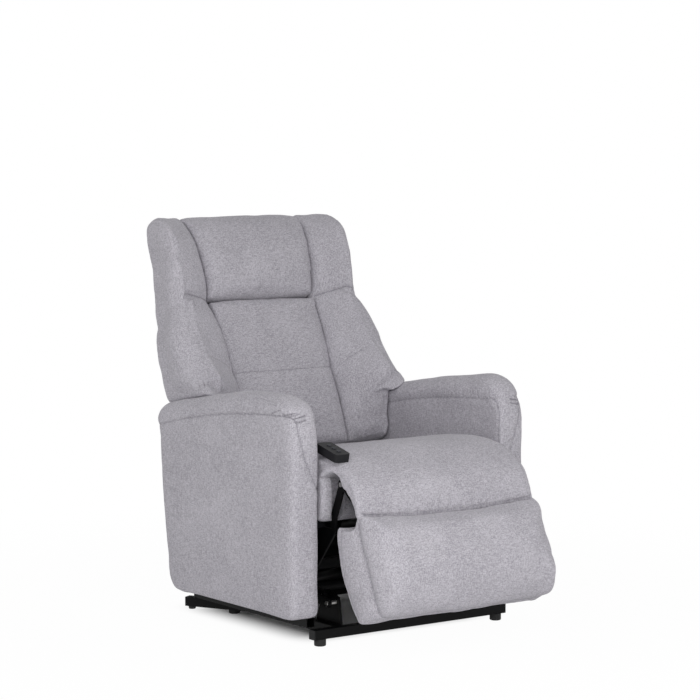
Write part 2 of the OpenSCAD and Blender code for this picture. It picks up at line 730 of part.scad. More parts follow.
// ---- hand control, lying over the front of the seat by the right arm ----

handset_tilt = 14;
handset_x = right * (arm_in - 8 - handset_w / 2);
handset_front = 41;             // part of its length in front of the edge it rests on
module handset_place() place() translate([handset_x, seat_edge[0], seat_edge[1] + 0.3])
    rotate([handset_tilt, 0, 0]) translate([0, -handset_front, 0]) children();

split_h = handset_h * 0.45;
shell_r = 8;
module rounded_block(w, l, h, r) linear_extrude(h) {
    translate([-w / 2 + r, 0]) square([w - 2 * r, l]);
    translate([-w / 2, r]) square([w, l - 2 * r]);
    for (x = [-w / 2 + r, w / 2 - r], y = [r, l - r]) translate([x, y]) circle(r);
}

button_rows = [22, 44, 66];
button_travel = 1.2;
button_rise = 2.5;
pocket_d = button_d + 0.6;
shell_wall = 2.5;

module handset_bottom_shell() color(frame_black) handset_place() difference() {
    rounded_block(handset_w, handset_len, split_h, shell_r);
    translate([0, shell_wall, shell_wall]) rounded_block(handset_w - 2 * shell_wall,
        handset_len - 2 * shell_wall, split_h, shell_r - shell_wall);
    translate([0, handset_len - 6, split_h / 2]) rotate([-90, 0, 0]) cylinder(h = 12, d = 5);
}

module handset_top_shell() color(frame_black) handset_place() translate([0, 0, split_h])
    difference() {
        rounded_block(handset_w, handset_len, handset_h - split_h, shell_r);
        translate([0, 0, handset_h - split_h - 7]) for (y = button_rows)
            translate([0, y, 0]) cylinder(h = 10, d = pocket_d);
    }

module handset_gland() color(frame_black) handset_place()
    translate([0, handset_len, split_h / 2]) rotate([-90, 0, 0]) difference() {
        cylinder(h = 14, d1 = 9, d2 = 7);
        translate([0, 0, -1]) cylinder(h = 16, d = 5);
    }

module handset_button(row) handset_place()
    translate([0, button_rows[row], handset_h - 7 + button_travel + 0.2])
        cylinder(h = 7 - button_travel - 0.2 + button_rise, d = button_d);

module lift_button() color(steel_grey) handset_button(0);
module lower_button() color(steel_grey) handset_button(1);
module leg_rest_button() color(steel_grey) handset_button(2);

base_front_tube();
base_rear_tube();
base_rail(right);  // base_rail_right
base_rail(left);  // base_rail_left
outrigger(right);  // outrigger_right
outrigger(left);  // outrigger_left
tube_caps();
outrigger_bumpers();
levelling_feet();
base_bracket(right);  // base_bracket_right
base_bracket(left);  // base_bracket_left
base_pivot_pins();
lift_arm(right);  // lift_arm_right
lift_arm(left);  // lift_arm_left
torsion_tube();
guide_link(right);  // guide_link_right
guide_link(left);  // guide_link_left
lift_actuator_housing();
lift_actuator_rod();
chair_rail(right);  // chair_rail_right
chair_rail(left);  // chair_rail_left
chair_cross_tubes();
side_plate(right);  // side_plate_right
side_plate(left);  // side_plate_left
chair_pivot_pins();
arm_timber_frames();
arm_panel(right);  // arm_panel_right
arm_panel(left);  // arm_panel_left
arm_pad(right);  // arm_pad_right
arm_pad(left);  // arm_pad_left
seat_side_rails();
seat_front_rail();
seat_straps();
seat_cushion();
control_box();
leg_arms();
flap_board();
flap_cushion();
leg_rest_hinges();
leg_rest_board();
leg_rest_cushion();
leg_actuator_housing();
leg_actuator_rod();
back_posts();
back_cross_rails();
back_straps();
lumbar_cushion();
middle_cushion();
headrest_cushion();
back_bolster(right);  // back_bolster_right
back_bolster(left);  // back_bolster_left
back_rear_panel();
back_actuator_housing();
back_actuator_rod();
handset_bottom_shell();
handset_top_shell();
handset_gland();
lift_button();
lower_button();
leg_rest_button();
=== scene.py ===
import math

import bmesh
import bpy
import numpy as np
from bpy.props import FloatProperty, FloatVectorProperty, PointerProperty
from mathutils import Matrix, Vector
from mathutils.bvhtree import BVHTree
from mathutils.kdtree import KDTree


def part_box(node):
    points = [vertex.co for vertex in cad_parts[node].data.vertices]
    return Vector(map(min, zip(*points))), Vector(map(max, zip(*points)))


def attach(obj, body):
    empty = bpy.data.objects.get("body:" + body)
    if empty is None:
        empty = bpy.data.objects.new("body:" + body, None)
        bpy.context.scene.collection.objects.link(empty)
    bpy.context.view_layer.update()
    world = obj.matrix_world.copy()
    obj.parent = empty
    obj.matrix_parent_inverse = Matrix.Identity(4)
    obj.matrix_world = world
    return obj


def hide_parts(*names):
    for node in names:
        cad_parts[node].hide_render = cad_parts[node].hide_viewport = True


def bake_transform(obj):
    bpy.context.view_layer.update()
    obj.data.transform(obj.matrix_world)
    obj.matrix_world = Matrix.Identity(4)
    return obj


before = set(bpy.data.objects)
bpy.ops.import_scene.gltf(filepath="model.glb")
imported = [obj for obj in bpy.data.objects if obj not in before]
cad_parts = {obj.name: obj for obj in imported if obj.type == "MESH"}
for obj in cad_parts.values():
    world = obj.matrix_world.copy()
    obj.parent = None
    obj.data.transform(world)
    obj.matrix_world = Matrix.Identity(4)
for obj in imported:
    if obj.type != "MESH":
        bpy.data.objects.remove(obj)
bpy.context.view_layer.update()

bl_info = {
    "name": "Lift Recliner Chair",
    "version": (1, 0, 0),
    "blender": (4, 5, 0),
    "location": "3D View > Sidebar > Chair",
    "description": "Dresses a lift recliner chair's frame in upholstery, paint and plastics",
    "category": "Add Mesh",
}

# Lengths below are in millimetres. Depth (y) runs from the front faces of the arms to the rear,
# and height (z) from the floor.
MM = 1000.0
ARM_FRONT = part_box("arm_panel_right")[0].y * MM
ARM_IN = -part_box("arm_panel_right")[1].x * MM
ARM_OUT = -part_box("arm_panel_right")[0].x * MM
SEAT_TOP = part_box("seat_cushion")[1].z * MM
SEAT_LIFT = SEAT_TOP - 492  # the outlines below are drawn for a seat 492 high
BACK_HINGE = (540.0, 330.0)
ROLL_CENTRE = (-30.0, SEAT_TOP - 74.0)
POST_LEAN = 0.085
POST_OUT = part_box("back_posts")[1].x * MM
HINGE_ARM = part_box("leg_arms")[1].x * MM - 4  # middle of an arm 8 thick

# The filling pushes for this many frames.
FILL_FRAMES = 20
# Half width in metres of the painted shade line in the bottom of a seam.
SEAM_DARK = 0.0021
# Steps of evening out a mesh: each pull is followed by a slightly larger push back.
PULL, PUSH_BACK = 0.5, -0.52


# ---------------------------------------------------------------- sizes and colours

def tone(name, text, red, green, blue):
    """A colour setting, given as it is seen on a screen, 0 to 255."""
    seen = [c / 255 for c in (red, green, blue)]
    plain = [c / 12.92 if c <= 0.04045 else ((c + 0.055) / 1.055) ** 2.4 for c in seen]
    return FloatVectorProperty(name=name, description=text, subtype="COLOR", size=3, min=0,
                               max=1, default=plain)


def length(name, text, default, low=0.0, high=1.0):
    return FloatProperty(name=name, description=text, default=default, min=low, max=high,
                         unit="LENGTH", subtype="DISTANCE", precision=4)


class ChairUpholstery(bpy.types.PropertyGroup):
    recline: FloatProperty(name="Recline", description="Lean of the back at rest",
                           default=math.radians(28), subtype="ANGLE", unit="ROTATION")
    pressure: FloatProperty(name="Filling pressure", default=4.0, min=0, max=20,
                            description="How hard the filling pushes the covers out")
    cell: length("Cell", "Edge of the mesh cells that the covers are cut into", 0.0066, 0.003, 0.02)
    arm_rise: length("Arm rise", "Furthest that the filling lifts an arm cover", 0.005)
    seat_rise: length("Seat rise", "Furthest that the filling lifts the seat", 0.012)
    leg_rise: length("Leg rest rise", "Furthest that the filling lifts the leg rest", 0.011)
    back_rise: length("Back rise", "Furthest that the filling lifts the back cushions", 0.014)
    wing_rise: length("Wing rise", "Furthest that the filling lifts the wings", 0.008)
    seam_depth: length("Seam depth", "Depth of the valley at a seam", 0.0035)
    seam_width: length("Seam width", "Half width of the valley at a seam", 0.0045)
    stitch_pitch: length("Stitch pitch", "Distance from one stitch to the next", 0.0042)
    stitch_size: length("Thread", "Thickness of the sewing thread", 0.0009)


class ChairColours(bpy.types.PropertyGroup):
    yarn_light: tone("Light yarn", "Lighter yarn of the heathered cloth", 193, 190, 197)
    yarn_dark: tone("Dark yarn", "Darker yarn of the heathered cloth", 148, 145, 152)
    # Painted shade: the colour that darkens the cloth in the bottoms of seams and folds.
    seam: tone("Seam", "Cloth in the bottom of a seam", 86, 83, 90)
    thread: tone("Thread", "Sewing thread", 120, 117, 124)
    # Painted shade in part: black cloth where the inside of the chair lies in shadow, and in part a
    # real cover under the seat.
    lining: tone("Lining", "Black cloth under the seat and inside the arms", 19, 19, 21)
    paint: tone("Paint", "Powder coat of the steel base", 8, 8, 9)
    mechanism: tone("Mechanism", "Paint of the moving steelwork", 10, 10, 11)
    plastic: tone("Plastic", "Moulded housings and caps", 15, 15, 17)
    handset: tone("Hand control", "Shell of the hand control", 19, 19, 22)
    button: tone("Buttons", "Buttons of the hand control", 40, 41, 46)
    steel: tone("Steel", "Zinc plated pins and rods", 196, 195, 192)
    timber: tone("Timber", "Pale timber of the inner frames", 205, 172, 128)
    webbing: tone("Webbing", "Woven straps under the cushions", 44, 44, 48)
    rubber: tone("Rubber", "Feet and bumpers", 22, 22, 22)


class ChairStage(bpy.types.PropertyGroup):
    key: FloatProperty(name="Key light", description="Power of the large lamp above the front",
                       default=30.0, min=0, unit="POWER")
    front: FloatProperty(name="Front light", description="Power of the low lamp in front",
                         default=22.0, min=0, unit="POWER")
    fill: FloatProperty(name="Fill light", description="Power of the side lamp", default=30.0,
                        min=0, unit="POWER")
    room: FloatProperty(name="Room light", description="Strength of the light all round",
                        default=0.50, min=0)
    lens: FloatProperty(name="Lens", description="Focal length of the camera", default=130.2,
                        unit="CAMERA", min=10)
    floor_half: length("Floor", "Half width of the floor", 12.0, 1, 50)


# ---------------------------------------------------------------- shader sheets

class Shade:
    """A shader value. An expression on it adds its Math nodes."""

    def __init__(self, finish, socket):
        self.finish, self.socket = finish, socket

    def do(self, operation, *others):
        node = self.finish.node("ShaderNodeMath", [self, *others], operation=operation)
        return Shade(self.finish, node.outputs[0])

    def __add__(self, other):
        return self.do("ADD", other)

    def __sub__(self, other):
        return self.do("SUBTRACT", other)

    def __rsub__(self, other):
        return (self * -1) + other

    def __mul__(self, other):
        return self.do("MULTIPLY", other)

    def __truediv__(self, other):
        return self.do("DIVIDE", other)

    def __rtruediv__(self, other):
        return self.do("POWER", -1) * other

    __radd__, __rmul__ = __add__, __mul__

    def wave(self, period):
        """A sine wave over a length."""
        return (self * (2 * math.pi / period)).do("SINE")

    def between(self, low, high, start=0.0, end=1.0):
        node = self.finish.node(
            "ShaderNodeMapRange", {"Value": self, "From Min": low, "From Max": high,
                                   "To Min": start, "To Max": end},
            interpolation_type="SMOOTHSTEP")
        return Shade(self.finish, node.outputs[0])


class Finish:
    """A material and the nodes that it is made of."""

    def __init__(self, name):
        self.material = bpy.data.materials.new(name)
        self.material.use_nodes = True
        self.tree = self.material.node_tree
        self.tree.nodes.clear()
        self.shader = self.node("ShaderNodeBsdfPrincipled")
        self.out = self.node("ShaderNodeOutputMaterial", {"Surface": self.shader.outputs[0]})
        self.out.location = (300, 0)

    def feed(self, socket, value):
        """Gives a socket a plain value, or a link from another node."""
        if isinstance(value, Shade):
            value = value.socket
        if isinstance(value, bpy.types.NodeSocket):
            self.tree.links.new(value, socket)
        else:
            socket.default_value = value

    def node(self, kind, values=None, stops=None, **settings):
        """Adds a node: its settings first, then its ramp's stops, then values or links."""
        node = self.tree.nodes.new(kind)
        for key, value in settings.items():
            setattr(node, key, value)
        if stops:
            ramp = node.color_ramp.elements
            while len(ramp) < len(stops):
                ramp.new(0.5)
            for stop, (at, colour) in zip(ramp, stops):
                stop.position, stop.color = at, colour
        pairs = values.items() if isinstance(values, dict) else enumerate(values or [])
        for key, value in pairs:
            self.feed(node.inputs[key], value)
        return node

    def mark(self, attribute):
        """A number that the mesh keeps at each of its points."""
        node = self.node("ShaderNodeAttribute", attribute_name=attribute)
        return Shade(self, node.outputs["Fac"])

    def place(self, attribute=None):
        """Where a point of the surface is, in metres."""
        if attribute:
            return self.node("ShaderNodeAttribute", attribute_name=attribute).outputs["Vector"]
        return self.node("ShaderNodeTexCoord").outputs["Object"]

    def parts(self, vector):
        node = self.node("ShaderNodeSeparateXYZ", [vector])
        return [Shade(self, s) for s in node.outputs]

    def noise(self, place, size, detail=2.0, roughness=0.5, stretch=(1, 1, 1)):
        """Noise with features of a size in metres, drawn out along an axis by stretch."""
        scaled = self.node("ShaderNodeVectorMath", [place, [1 / (size * s) for s in stretch]],
                           operation="MULTIPLY").outputs[0]
        node = self.node("ShaderNodeTexNoise", {"Vector": scaled, "Scale": 1.0,
                                                "Detail": detail, "Roughness": roughness})
        return Shade(self, node.outputs["Fac"])

    def blend(self, share, first, second):
        """A colour between two colours."""
        node = self.node("ShaderNodeMix", data_type="RGBA")
        for index, value in ((0, share), (6, first), (7, second)):
            self.feed(node.inputs[index], value)
        return node.outputs[2]

    def bump(self, height, distance, strength, below=None):
        values = {"Height": height, "Distance": distance, "Strength": strength}
        if below is not None:
            values["Normal"] = below
        return self.node("ShaderNodeBump", values).outputs[0]

    def done(self, **inputs):
        """Sets the shader's own sockets, a name with _ for each space."""
        for key, value in inputs.items():
            self.feed(self.shader.inputs[key.replace("_", " ")], value)


def rgba(colour, by=1.0):
    return [min(1.0, c * by) for c in colour] + [1.0]


def once(make):
    """Turns a function that sets up a finish into one that gives its material, made only once."""
    def kept(*words):
        name = "_".join([make.__name__, *words])
        if name not in bpy.data.materials:
            make(Finish(name), colours(), *words)
        return bpy.data.materials[name]
    return kept


def colours():
    return bpy.context.scene.chair_colours


def upholstery():
    return bpy.context.scene.chair_upholstery


@once
def heather_cloth(f, c):
    at = f.place("cloth_at")
    x, y, z = f.parts(at)
    warp, weft, rise = (f.noise(at, 0.0019, 1.0, stretch=drawn)
                        for drawn in ((6, 1, 1), (1, 6, 1), (1, 1, 6)))
    slub = (warp + weft + rise) / 3
    fleck = f.noise(at, 0.0034, 2.0)
    cloud = f.noise(at, 0.11, 2.0)
    lattice = x.wave(0.0023) * y.wave(0.0023) + y.wave(0.0023) * z.wave(0.0023) \
        + z.wave(0.0023) * x.wave(0.0023)
    share = (slub - 0.5) * 3.3 + (fleck - 0.5) * 1.0 + (cloud - 0.5) * 0.40 + 0.5
    yarn = f.blend(share.between(0.0, 1.0), rgba(c.yarn_dark), rgba(c.yarn_light))
    speck = f.noise(at, 0.0019, 0.0).between(0.69, 0.76)
    yarn = f.blend(speck * 0.35, yarn, rgba(c.yarn_dark, 0.55))
    # Painted shade in the bottoms of seams and folds.
    yarn = f.blend(f.mark("seam_shade"), yarn, rgba(c.seam))
    # Painted highlight: lighter yarn on the outstanding edges.
    painted_highlight = f.mark("edge_wear") * (0.10 + cloud * 0.15)
    yarn = f.blend(painted_highlight, yarn, rgba(c.yarn_light, 1.08))
    weave = f.bump(lattice * 0.25 + slub, 0.0007, 0.55)
    normal = f.bump(fleck + f.noise(at, 0.02, 2.0) * 0.6, 0.0012, 0.25, weave)
    f.done(Base_Color=yarn, Roughness=(0.98 - share.between(0, 1) * 0.14), Normal=normal,
           Specular_IOR_Level=0.22, Sheen_Weight=0.22, Sheen_Roughness=0.45,
           Sheen_Tint=rgba((0.92, 0.91, 0.94)))


# Black cloth: in part a real cover under the seat, in part painted shade that darkens the inside of
# the chair.
@once
def black_lining(f, c):
    at = f.place()
    x, y, z = f.parts(at)
    weave = (x + y).wave(0.0016) * (y + z).wave(0.0016)
    lint = f.noise(at, 0.03, 4.0, 0.6)
    f.done(Base_Color=f.blend(lint, rgba(c.lining, 0.7), rgba(c.lining, 1.4)),
           Roughness=0.97 - lint * 0.1, Normal=f.bump(weave, 0.0003, 0.4),
           Specular_IOR_Level=0.1)


@once
def sewing_thread(f, c):
    twist = f.noise(f.place(), 0.0004, 1.0)
    f.done(Base_Color=f.blend(twist, rgba(c.thread, 0.8), rgba(c.thread, 1.2)),
           Roughness=0.8 - twist * 0.2, Normal=f.bump(twist, 0.0002, 0.5))


@once
def coated_steel(f, c, which):
    at, coat = f.place(), getattr(c, which)
    peel = f.noise(at, 0.0012, 2.0)
    dust = f.noise(at, 0.09, 4.0, 0.6)
    scuff = f.noise(at, 0.006, 3.0, 0.6, (1, 5, 1)).between(0.66, 0.80)
    shade = f.blend(dust.between(0.35, 0.75), rgba(coat, 0.85), rgba(coat, 1.6))
    shade = f.blend(scuff * 0.30, shade, rgba((0.10, 0.10, 0.105)))
    f.done(Base_Color=shade, Roughness=0.42 + dust * 0.16 + scuff * 0.12,
           Specular_IOR_Level=0.10, Normal=f.bump(peel, 0.00025, 0.35))


@once
def plated_steel(f, c):
    at = f.place()
    turned = f.noise(at, 0.0009, 2.0, 0.5, (7, 1, 1))
    dull = f.noise(at, 0.02, 3.0)
    f.done(Base_Color=f.blend(dull, rgba(c.steel, 0.72), rgba(c.steel, 1.0)), Metallic=1.0,
           Roughness=0.24 + turned * 0.16 + dull * 0.12,
           Normal=f.bump(turned, 0.0001, 0.3))


@once
def moulded_plastic(f, c, which):
    at, shell = f.place(), getattr(c, which)
    grain = f.noise(at, 0.0007, 2.0)
    handled = f.noise(at, 0.025, 3.0)
    f.done(Base_Color=f.blend(handled, rgba(shell, 0.85), rgba(shell, 1.25)),
           Roughness=0.46 + handled * 0.14 + grain * 0.08, Specular_IOR_Level=0.22,
           Normal=f.bump(grain, 0.00018, 0.4))


@once
def sawn_timber(f, c):
    at = f.place()
    ring = f.noise(at, 0.012, 3.0, 0.55, (14, 1.6, 1))
    pore = f.noise(at, 0.0012, 2.0, 0.6, (16, 1, 1))
    shade = f.node("ShaderNodeValToRGB", [ring], stops=[
        (stop, rgba(c.timber, by)) for stop, by in ((0.30, 0.72), (0.52, 1.0), (0.70, 0.82))])
    f.done(Base_Color=f.blend(pore.between(0.55, 0.75) * 0.4, shade.outputs[0],
                              rgba(c.timber, 0.5)),
           Roughness=0.62 + pore * 0.18, Normal=f.bump(pore + ring * 0.4, 0.0004, 0.5))


@once
def woven_strap(f, c):
    at = f.place()
    x, y, _ = f.parts(at)
    weave = x.wave(0.0034) * y.wave(0.0034)
    wear = f.noise(at, 0.012, 3.0)
    f.done(Base_Color=f.blend(weave.between(-1, 1) * 0.5 + wear * 0.4, rgba(c.webbing, 0.6),
                              rgba(c.webbing, 1.7)),
           Roughness=0.86 - wear * 0.1, Normal=f.bump(weave, 0.0007, 0.7))


@once
def soft_rubber(f, c):
    at = f.place()
    grain = f.noise(at, 0.0009, 2.0)
    dust = f.noise(at, 0.015, 4.0, 0.6)
    f.done(Base_Color=f.blend(dust.between(0.5, 0.8) * 0.6, rgba(c.rubber), rgba(c.rubber, 3.0)),
           Roughness=0.72 + dust * 0.14, Normal=f.bump(grain, 0.0003, 0.4))


# ---------------------------------------------------------------- curves and meshes

def rising(value, start, over):
    """0 up to a start, and 1 once a value is past the stretch that begins there."""
    return np.clip((value - start) / over, 0, 1)


def falling(value, end, over):
    """1 before a stretch that stops at an end, and 0 beyond it."""
    return np.clip((end - value) / over, 0, 1)


def eased(share):
    """A share from 0 to 1 with a gentle start and stop."""
    return share * share * (3 - 2 * share)


def placed(points):
    """Millimetres from the arms' front to metres in the chair's frame."""
    out = np.array(points, float)
    out[..., 1] += ARM_FRONT
    return out / MM


def lean():
    """Cosine and sine of the back's lean at rest."""
    return math.cos(upholstery().recline), math.sin(upholstery().recline)


def leaned(points):
    """Points of the back, as across, in front of its hinge and above it, where they are at rest."""
    p = np.asarray(points, float)
    c, s = lean()
    across, ahead, up = p[..., 0], p[..., 1], p[..., 2]
    return np.stack([across, BACK_HINGE[0] + up * s - ahead * c,
                     BACK_HINGE[1] + up * c + ahead * s], -1)


def run_along(points):
    """The distance covered at each point of a line."""
    return np.concatenate([[0], np.cumsum(np.linalg.norm(np.diff(points, axis=0), axis=1))])


def flowing(points, step, closed=False, measured=3):
    """A smooth curve through points, evenly spaced. Columns after the measured ones go with it."""
    p = np.asarray(points, float)
    if closed:
        q = np.vstack([p[-1:], p, p[:2]])
    else:
        q = np.vstack([2 * p[:1] - p[1:2], p, 2 * p[-1:] - p[-2:-1]])
    out = []
    for four in zip(q, q[1:], q[2:], q[3:]):
        k = [0.0]
        for start, end in zip(four, four[1:]):
            k.append(k[-1] + max(1e-4, np.linalg.norm((end - start)[:measured])) ** 0.5)
        t = np.linspace(k[1], k[2], 16, endpoint=False)[:, None]

        def mixed(a, b, low, high):
            return (k[high] - t) / (k[high] - k[low]) * a + (t - k[low]) / (k[high] - k[low]) * b

        one, two, three = (mixed(four[i], four[i + 1], i, i + 1) for i in range(3))
        out.append(mixed(mixed(one, two, 0, 2), mixed(two, three, 1, 3), 1, 2))
    curve = np.vstack(out + [p[:1] if closed else p[-1:]])
    run = run_along(curve[:, :measured])
    count = max(8, int(round(run[-1] / step)))
    at = np.linspace(0, run[-1], count + 1)
    even = np.stack([np.interp(at, run, values) for values in curve.T], 1)
    return even[:-1] if closed else even


def bands(rings):
    """Faces that join closed rings of equal count, with a face on each end."""
    count, size = len(rings), len(rings[0])
    faces = []
    for r in range(count - 1):
        for i in range(size):
            j = (i + 1) % size
            faces.append((r * size + i, r * size + j, (r + 1) * size + j, (r + 1) * size + i))
    faces.append(tuple(range(size))[::-1])
    faces.append(tuple(range((count - 1) * size, count * size)))
    return np.vstack(rings), faces


def pillow(loop, middle=0.0, rows=10):
    """A closed outline of depth and height drawn out across the chair, its ends rounded.

    The columns of loop are depth, height, half width, how far the end is drawn in, and over
    how much width that happens. It gives points as across, depth and height."""
    ahead = np.roll(loop[:, :2], -1, 0) - np.roll(loop[:, :2], 1, 0)
    ahead /= np.linalg.norm(ahead, axis=1)[:, None]
    area = 0.5 * np.sum(loop[:, 0] * np.roll(loop[:, 1], -1) - np.roll(loop[:, 0], -1) * loop[:, 1])
    inward = np.stack([-ahead[:, 1], ahead[:, 0]], 1) * (1 if area > 0 else -1)
    rings = []
    half, draw, over = loop[:, 2], loop[:, 3], loop[:, 4]
    for side in (-1, 1):
        turns = np.linspace(0, math.pi / 2, rows + 1)
        for turn in (turns[::-1] if side < 0 else turns):
            flat = loop[:, :2] + inward * (draw * (1 - math.cos(turn)))[:, None]
            across = middle + side * (half - over * (1 - math.sin(turn)))
            rings.append(np.column_stack([across, flat]))
    return bands(rings)


def new_mesh(name, points, faces=(), edges=()):
    mesh = bpy.data.meshes.new(name)
    mesh.from_pydata([tuple(p) for p in points], edges, faces)
    mesh.update()
    return mesh


def new_object(name, data):
    obj = bpy.data.objects.new(name, data)
    bpy.context.scene.collection.objects.link(obj)
    return obj


def made_plain(obj):
    """Turns an object's modifiers into mesh."""
    bpy.context.view_layer.update()
    graph = bpy.context.evaluated_depsgraph_get()
    mesh = bpy.data.meshes.new_from_object(obj.evaluated_get(graph), depsgraph=graph)
    old = obj.data
    obj.modifiers.clear()
    obj.data = mesh
    bpy.data.meshes.remove(old)


def read(values, key):
    """Three numbers of each of a mesh's points or faces."""
    out = np.empty(len(values) * 3, np.float32)
    values.foreach_get(key, out)
    return out.reshape(-1, 3).astype(float)


def mesh_points(mesh):
    return read(mesh.vertices, "co")


def mesh_normals(mesh):
    return read(mesh.vertex_normals, "vector")


def set_points(mesh, points):
    mesh.vertices.foreach_set("co", points.astype(np.float32).ravel())
    mesh.update()


def shaded_smooth(mesh):
    mesh.polygons.foreach_set("use_smooth", np.ones(len(mesh.polygons), bool))


class Net:
    """The edges of a mesh, for what spreads from each point to the ones beside it."""

    def __init__(self, mesh):
        edges = np.empty(len(mesh.edges) * 2, np.int32)
        mesh.edges.foreach_get("vertices", edges)
        self.a, self.b = edges.reshape(-1, 2).T
        self.ends, self.size = np.concatenate([self.a, self.b]), len(mesh.vertices)
        self.count = np.bincount(self.ends, minlength=self.size)

    def total(self, from_b, from_a):
        """What each point is given by the edges that meet at it."""
        return np.bincount(self.ends, np.concatenate([from_b, from_a]), self.size)


def relaxed(mesh, rounds):
    """Evens out the cells of a mesh without shrinking it."""
    net, p = Net(mesh), mesh_points(mesh)
    for share in (PULL, PUSH_BACK) * rounds:
        total = np.stack([net.total(c[net.b], c[net.a]) for c in p.T], 1)
        p += share * (total / net.count[:, None] - p)
    set_points(mesh, p)


def cut_cloth(name, shells, cell, smooth=6):
    """One even mesh round all the shells, each given as points in metres and faces."""
    points, faces = [], []
    for p, f in shells:
        start = len(points)
        points += [tuple(q) for q in p]
        faces += [tuple(i + start for i in face) for face in f]
    obj = new_object(name, new_mesh(name, points, faces))
    mod = obj.modifiers.new("even", "REMESH")
    mod.mode, mod.voxel_size, mod.adaptivity, mod.use_smooth_shade = "VOXEL", cell, 0, True
    made_plain(obj)
    relaxed(obj.data, smooth)
    return obj


def filled(obj, rise, weight=None):
    """Lets filling push a cover out for a moment, by no more than rise at any point."""
    rest = mesh_points(obj.data)
    share = np.ones(len(rest)) if weight is None else np.clip(weight(rest * MM), 0, 1)
    scene = bpy.context.scene
    mod = obj.modifiers.new("filling", "CLOTH")
    s = mod.settings
    s.quality, s.mass, s.air_damping = 4, 0.3, 2.0
    s.tension_stiffness = s.compression_stiffness = 18
    s.shear_stiffness, s.bending_stiffness = 8, 0.6
    s.use_pressure, s.uniform_pressure_force = True, upholstery().pressure
    s.effector_weights.gravity = 0
    mod.collision_settings.use_collision = False
    mod.point_cache.frame_start, mod.point_cache.frame_end = 1, FILL_FRAMES
    for step in range(FILL_FRAMES):
        scene.frame_set(step + 1)
    graph = bpy.context.evaluated_depsgraph_get()
    shown = obj.evaluated_get(graph).to_mesh()
    moved = mesh_points(shown)
    obj.evaluated_get(graph).to_mesh_clear()
    obj.modifiers.clear()
    scene.frame_set(1)
    shift = moved - rest
    far = np.linalg.norm(shift, axis=1)[:, None] + 1e-9
    shift *= rise * np.tanh(far / rise) / far
    set_points(obj.data, rest + shift * share[:, None])
    relaxed(obj.data, 2)


def refined(obj):
    mod = obj.modifiers.new("fine", "SUBSURF")
    mod.levels = mod.render_levels = 1
    made_plain(obj)
    shaded_smooth(obj.data)


def stuffed(name, loop, cell, rise, weight=None, rows=10, middle=0.0, place=placed):
    """A cover cut from a closed outline and filled."""
    points, faces = pillow(loop, middle, rows)
    obj = cut_cloth(name, [(place(points), faces)], cell)
    filled(obj, rise, weight)
    refined(obj)
    return obj


def finer(obj, picked):
    """Splits the faces in part of a cover once more, where small pleats need them."""
    mesh = bmesh.new()
    mesh.from_mesh(obj.data)
    near = picked(np.array([v.co for v in mesh.verts]) * MM)
    edges = [e for e in mesh.edges if near[e.verts[0].index] and near[e.verts[1].index]]
    bmesh.ops.subdivide_edges(mesh, edges=edges, cuts=1, use_grid_fill=True)
    mesh.to_mesh(obj.data)
    mesh.free()
    obj.data.update()


class Seam:
    """A sewn line on the surface of a cover."""

    def __init__(self, obj, points, step=2.0):
        """points are millimetres as the chair stands. The line is drawn onto the surface."""
        line = placed(flowing(points, step))
        tree = BVHTree.FromPolygons([v.co for v in obj.data.vertices],
                                    [p.vertices[:] for p in obj.data.polygons])
        hits = [tree.find_nearest(Vector(p)) for p in line]
        self.at, self.out = (np.array([h[i] for h in hits]) for i in range(2))
        for _ in range(4):
            for row in (self.at, self.out):
                row[1:-1] = (row[:-2] + 2 * row[1:-1] + row[2:]) / 4
        self.run = run_along(self.at)
        along = np.gradient(self.at, axis=0)
        self.side = np.cross(self.out, along)
        self.side /= np.linalg.norm(self.side, axis=1)[:, None] + 1e-12
        self.tree = KDTree(len(self.at))
        for i, p in enumerate(self.at):
            self.tree.insert(p, i)
        self.tree.balance()

    def near(self, points, reach):
        """The points within reach: their indices, distances, runs along it and signed sides."""
        low, high = self.at.min(0) - reach, self.at.max(0) + reach
        close = np.nonzero(np.all((points > low) & (points < high), 1))[0]
        found = [self.tree.find(points[i]) for i in close]
        index = np.array([f[1] for f in found], int)
        away = np.array([f[2] for f in found], float)
        keep = away < reach
        close, index, away = close[keep], index[keep], away[keep]
        sided = np.einsum("ij,ij->i", points[close] - self.at[index], self.side[index])
        return close, away, self.run[index], sided


def marked(mesh, name, kind="FLOAT"):
    """A mesh's attribute, made the first time it is asked for."""
    return mesh.attributes.get(name) or mesh.attributes.new(name, kind, "POINT")


def sew(obj, seams, depth, width, shade, fade=0.0):
    """Draws the surface in along seams, and darkens the cloth in them with painted shade.

    depth and width are shares of a full seam's. fade is the length over which both ends rise."""
    size = upholstery()
    mesh = obj.data
    marks = marked(mesh, "seam_shade")
    dark = np.zeros(len(mesh.vertices), np.float32)
    marks.data.foreach_get("value", dark)
    p, n = mesh_points(mesh), mesh_normals(mesh)
    wide = size.seam_width * width
    for seam in seams:
        at, away, run, _ = seam.near(p, wide * 4)
        ends = np.minimum(run, seam.run[-1] - run)
        hold = np.clip(ends / fade, 0, 1) if fade else np.ones(len(at))
        soft = np.exp(-(away / (wide * 2.2)) ** 2) * 0.45 + np.exp(-(away / wide) ** 2) * 0.55
        p[at] -= n[at] * (size.seam_depth * depth * hold * soft)[:, None]
        dark[at] = np.maximum(dark[at], hold * shade * np.exp(-(away / SEAM_DARK) ** 2))
    set_points(mesh, p)
    marks.data.foreach_set("value", dark)


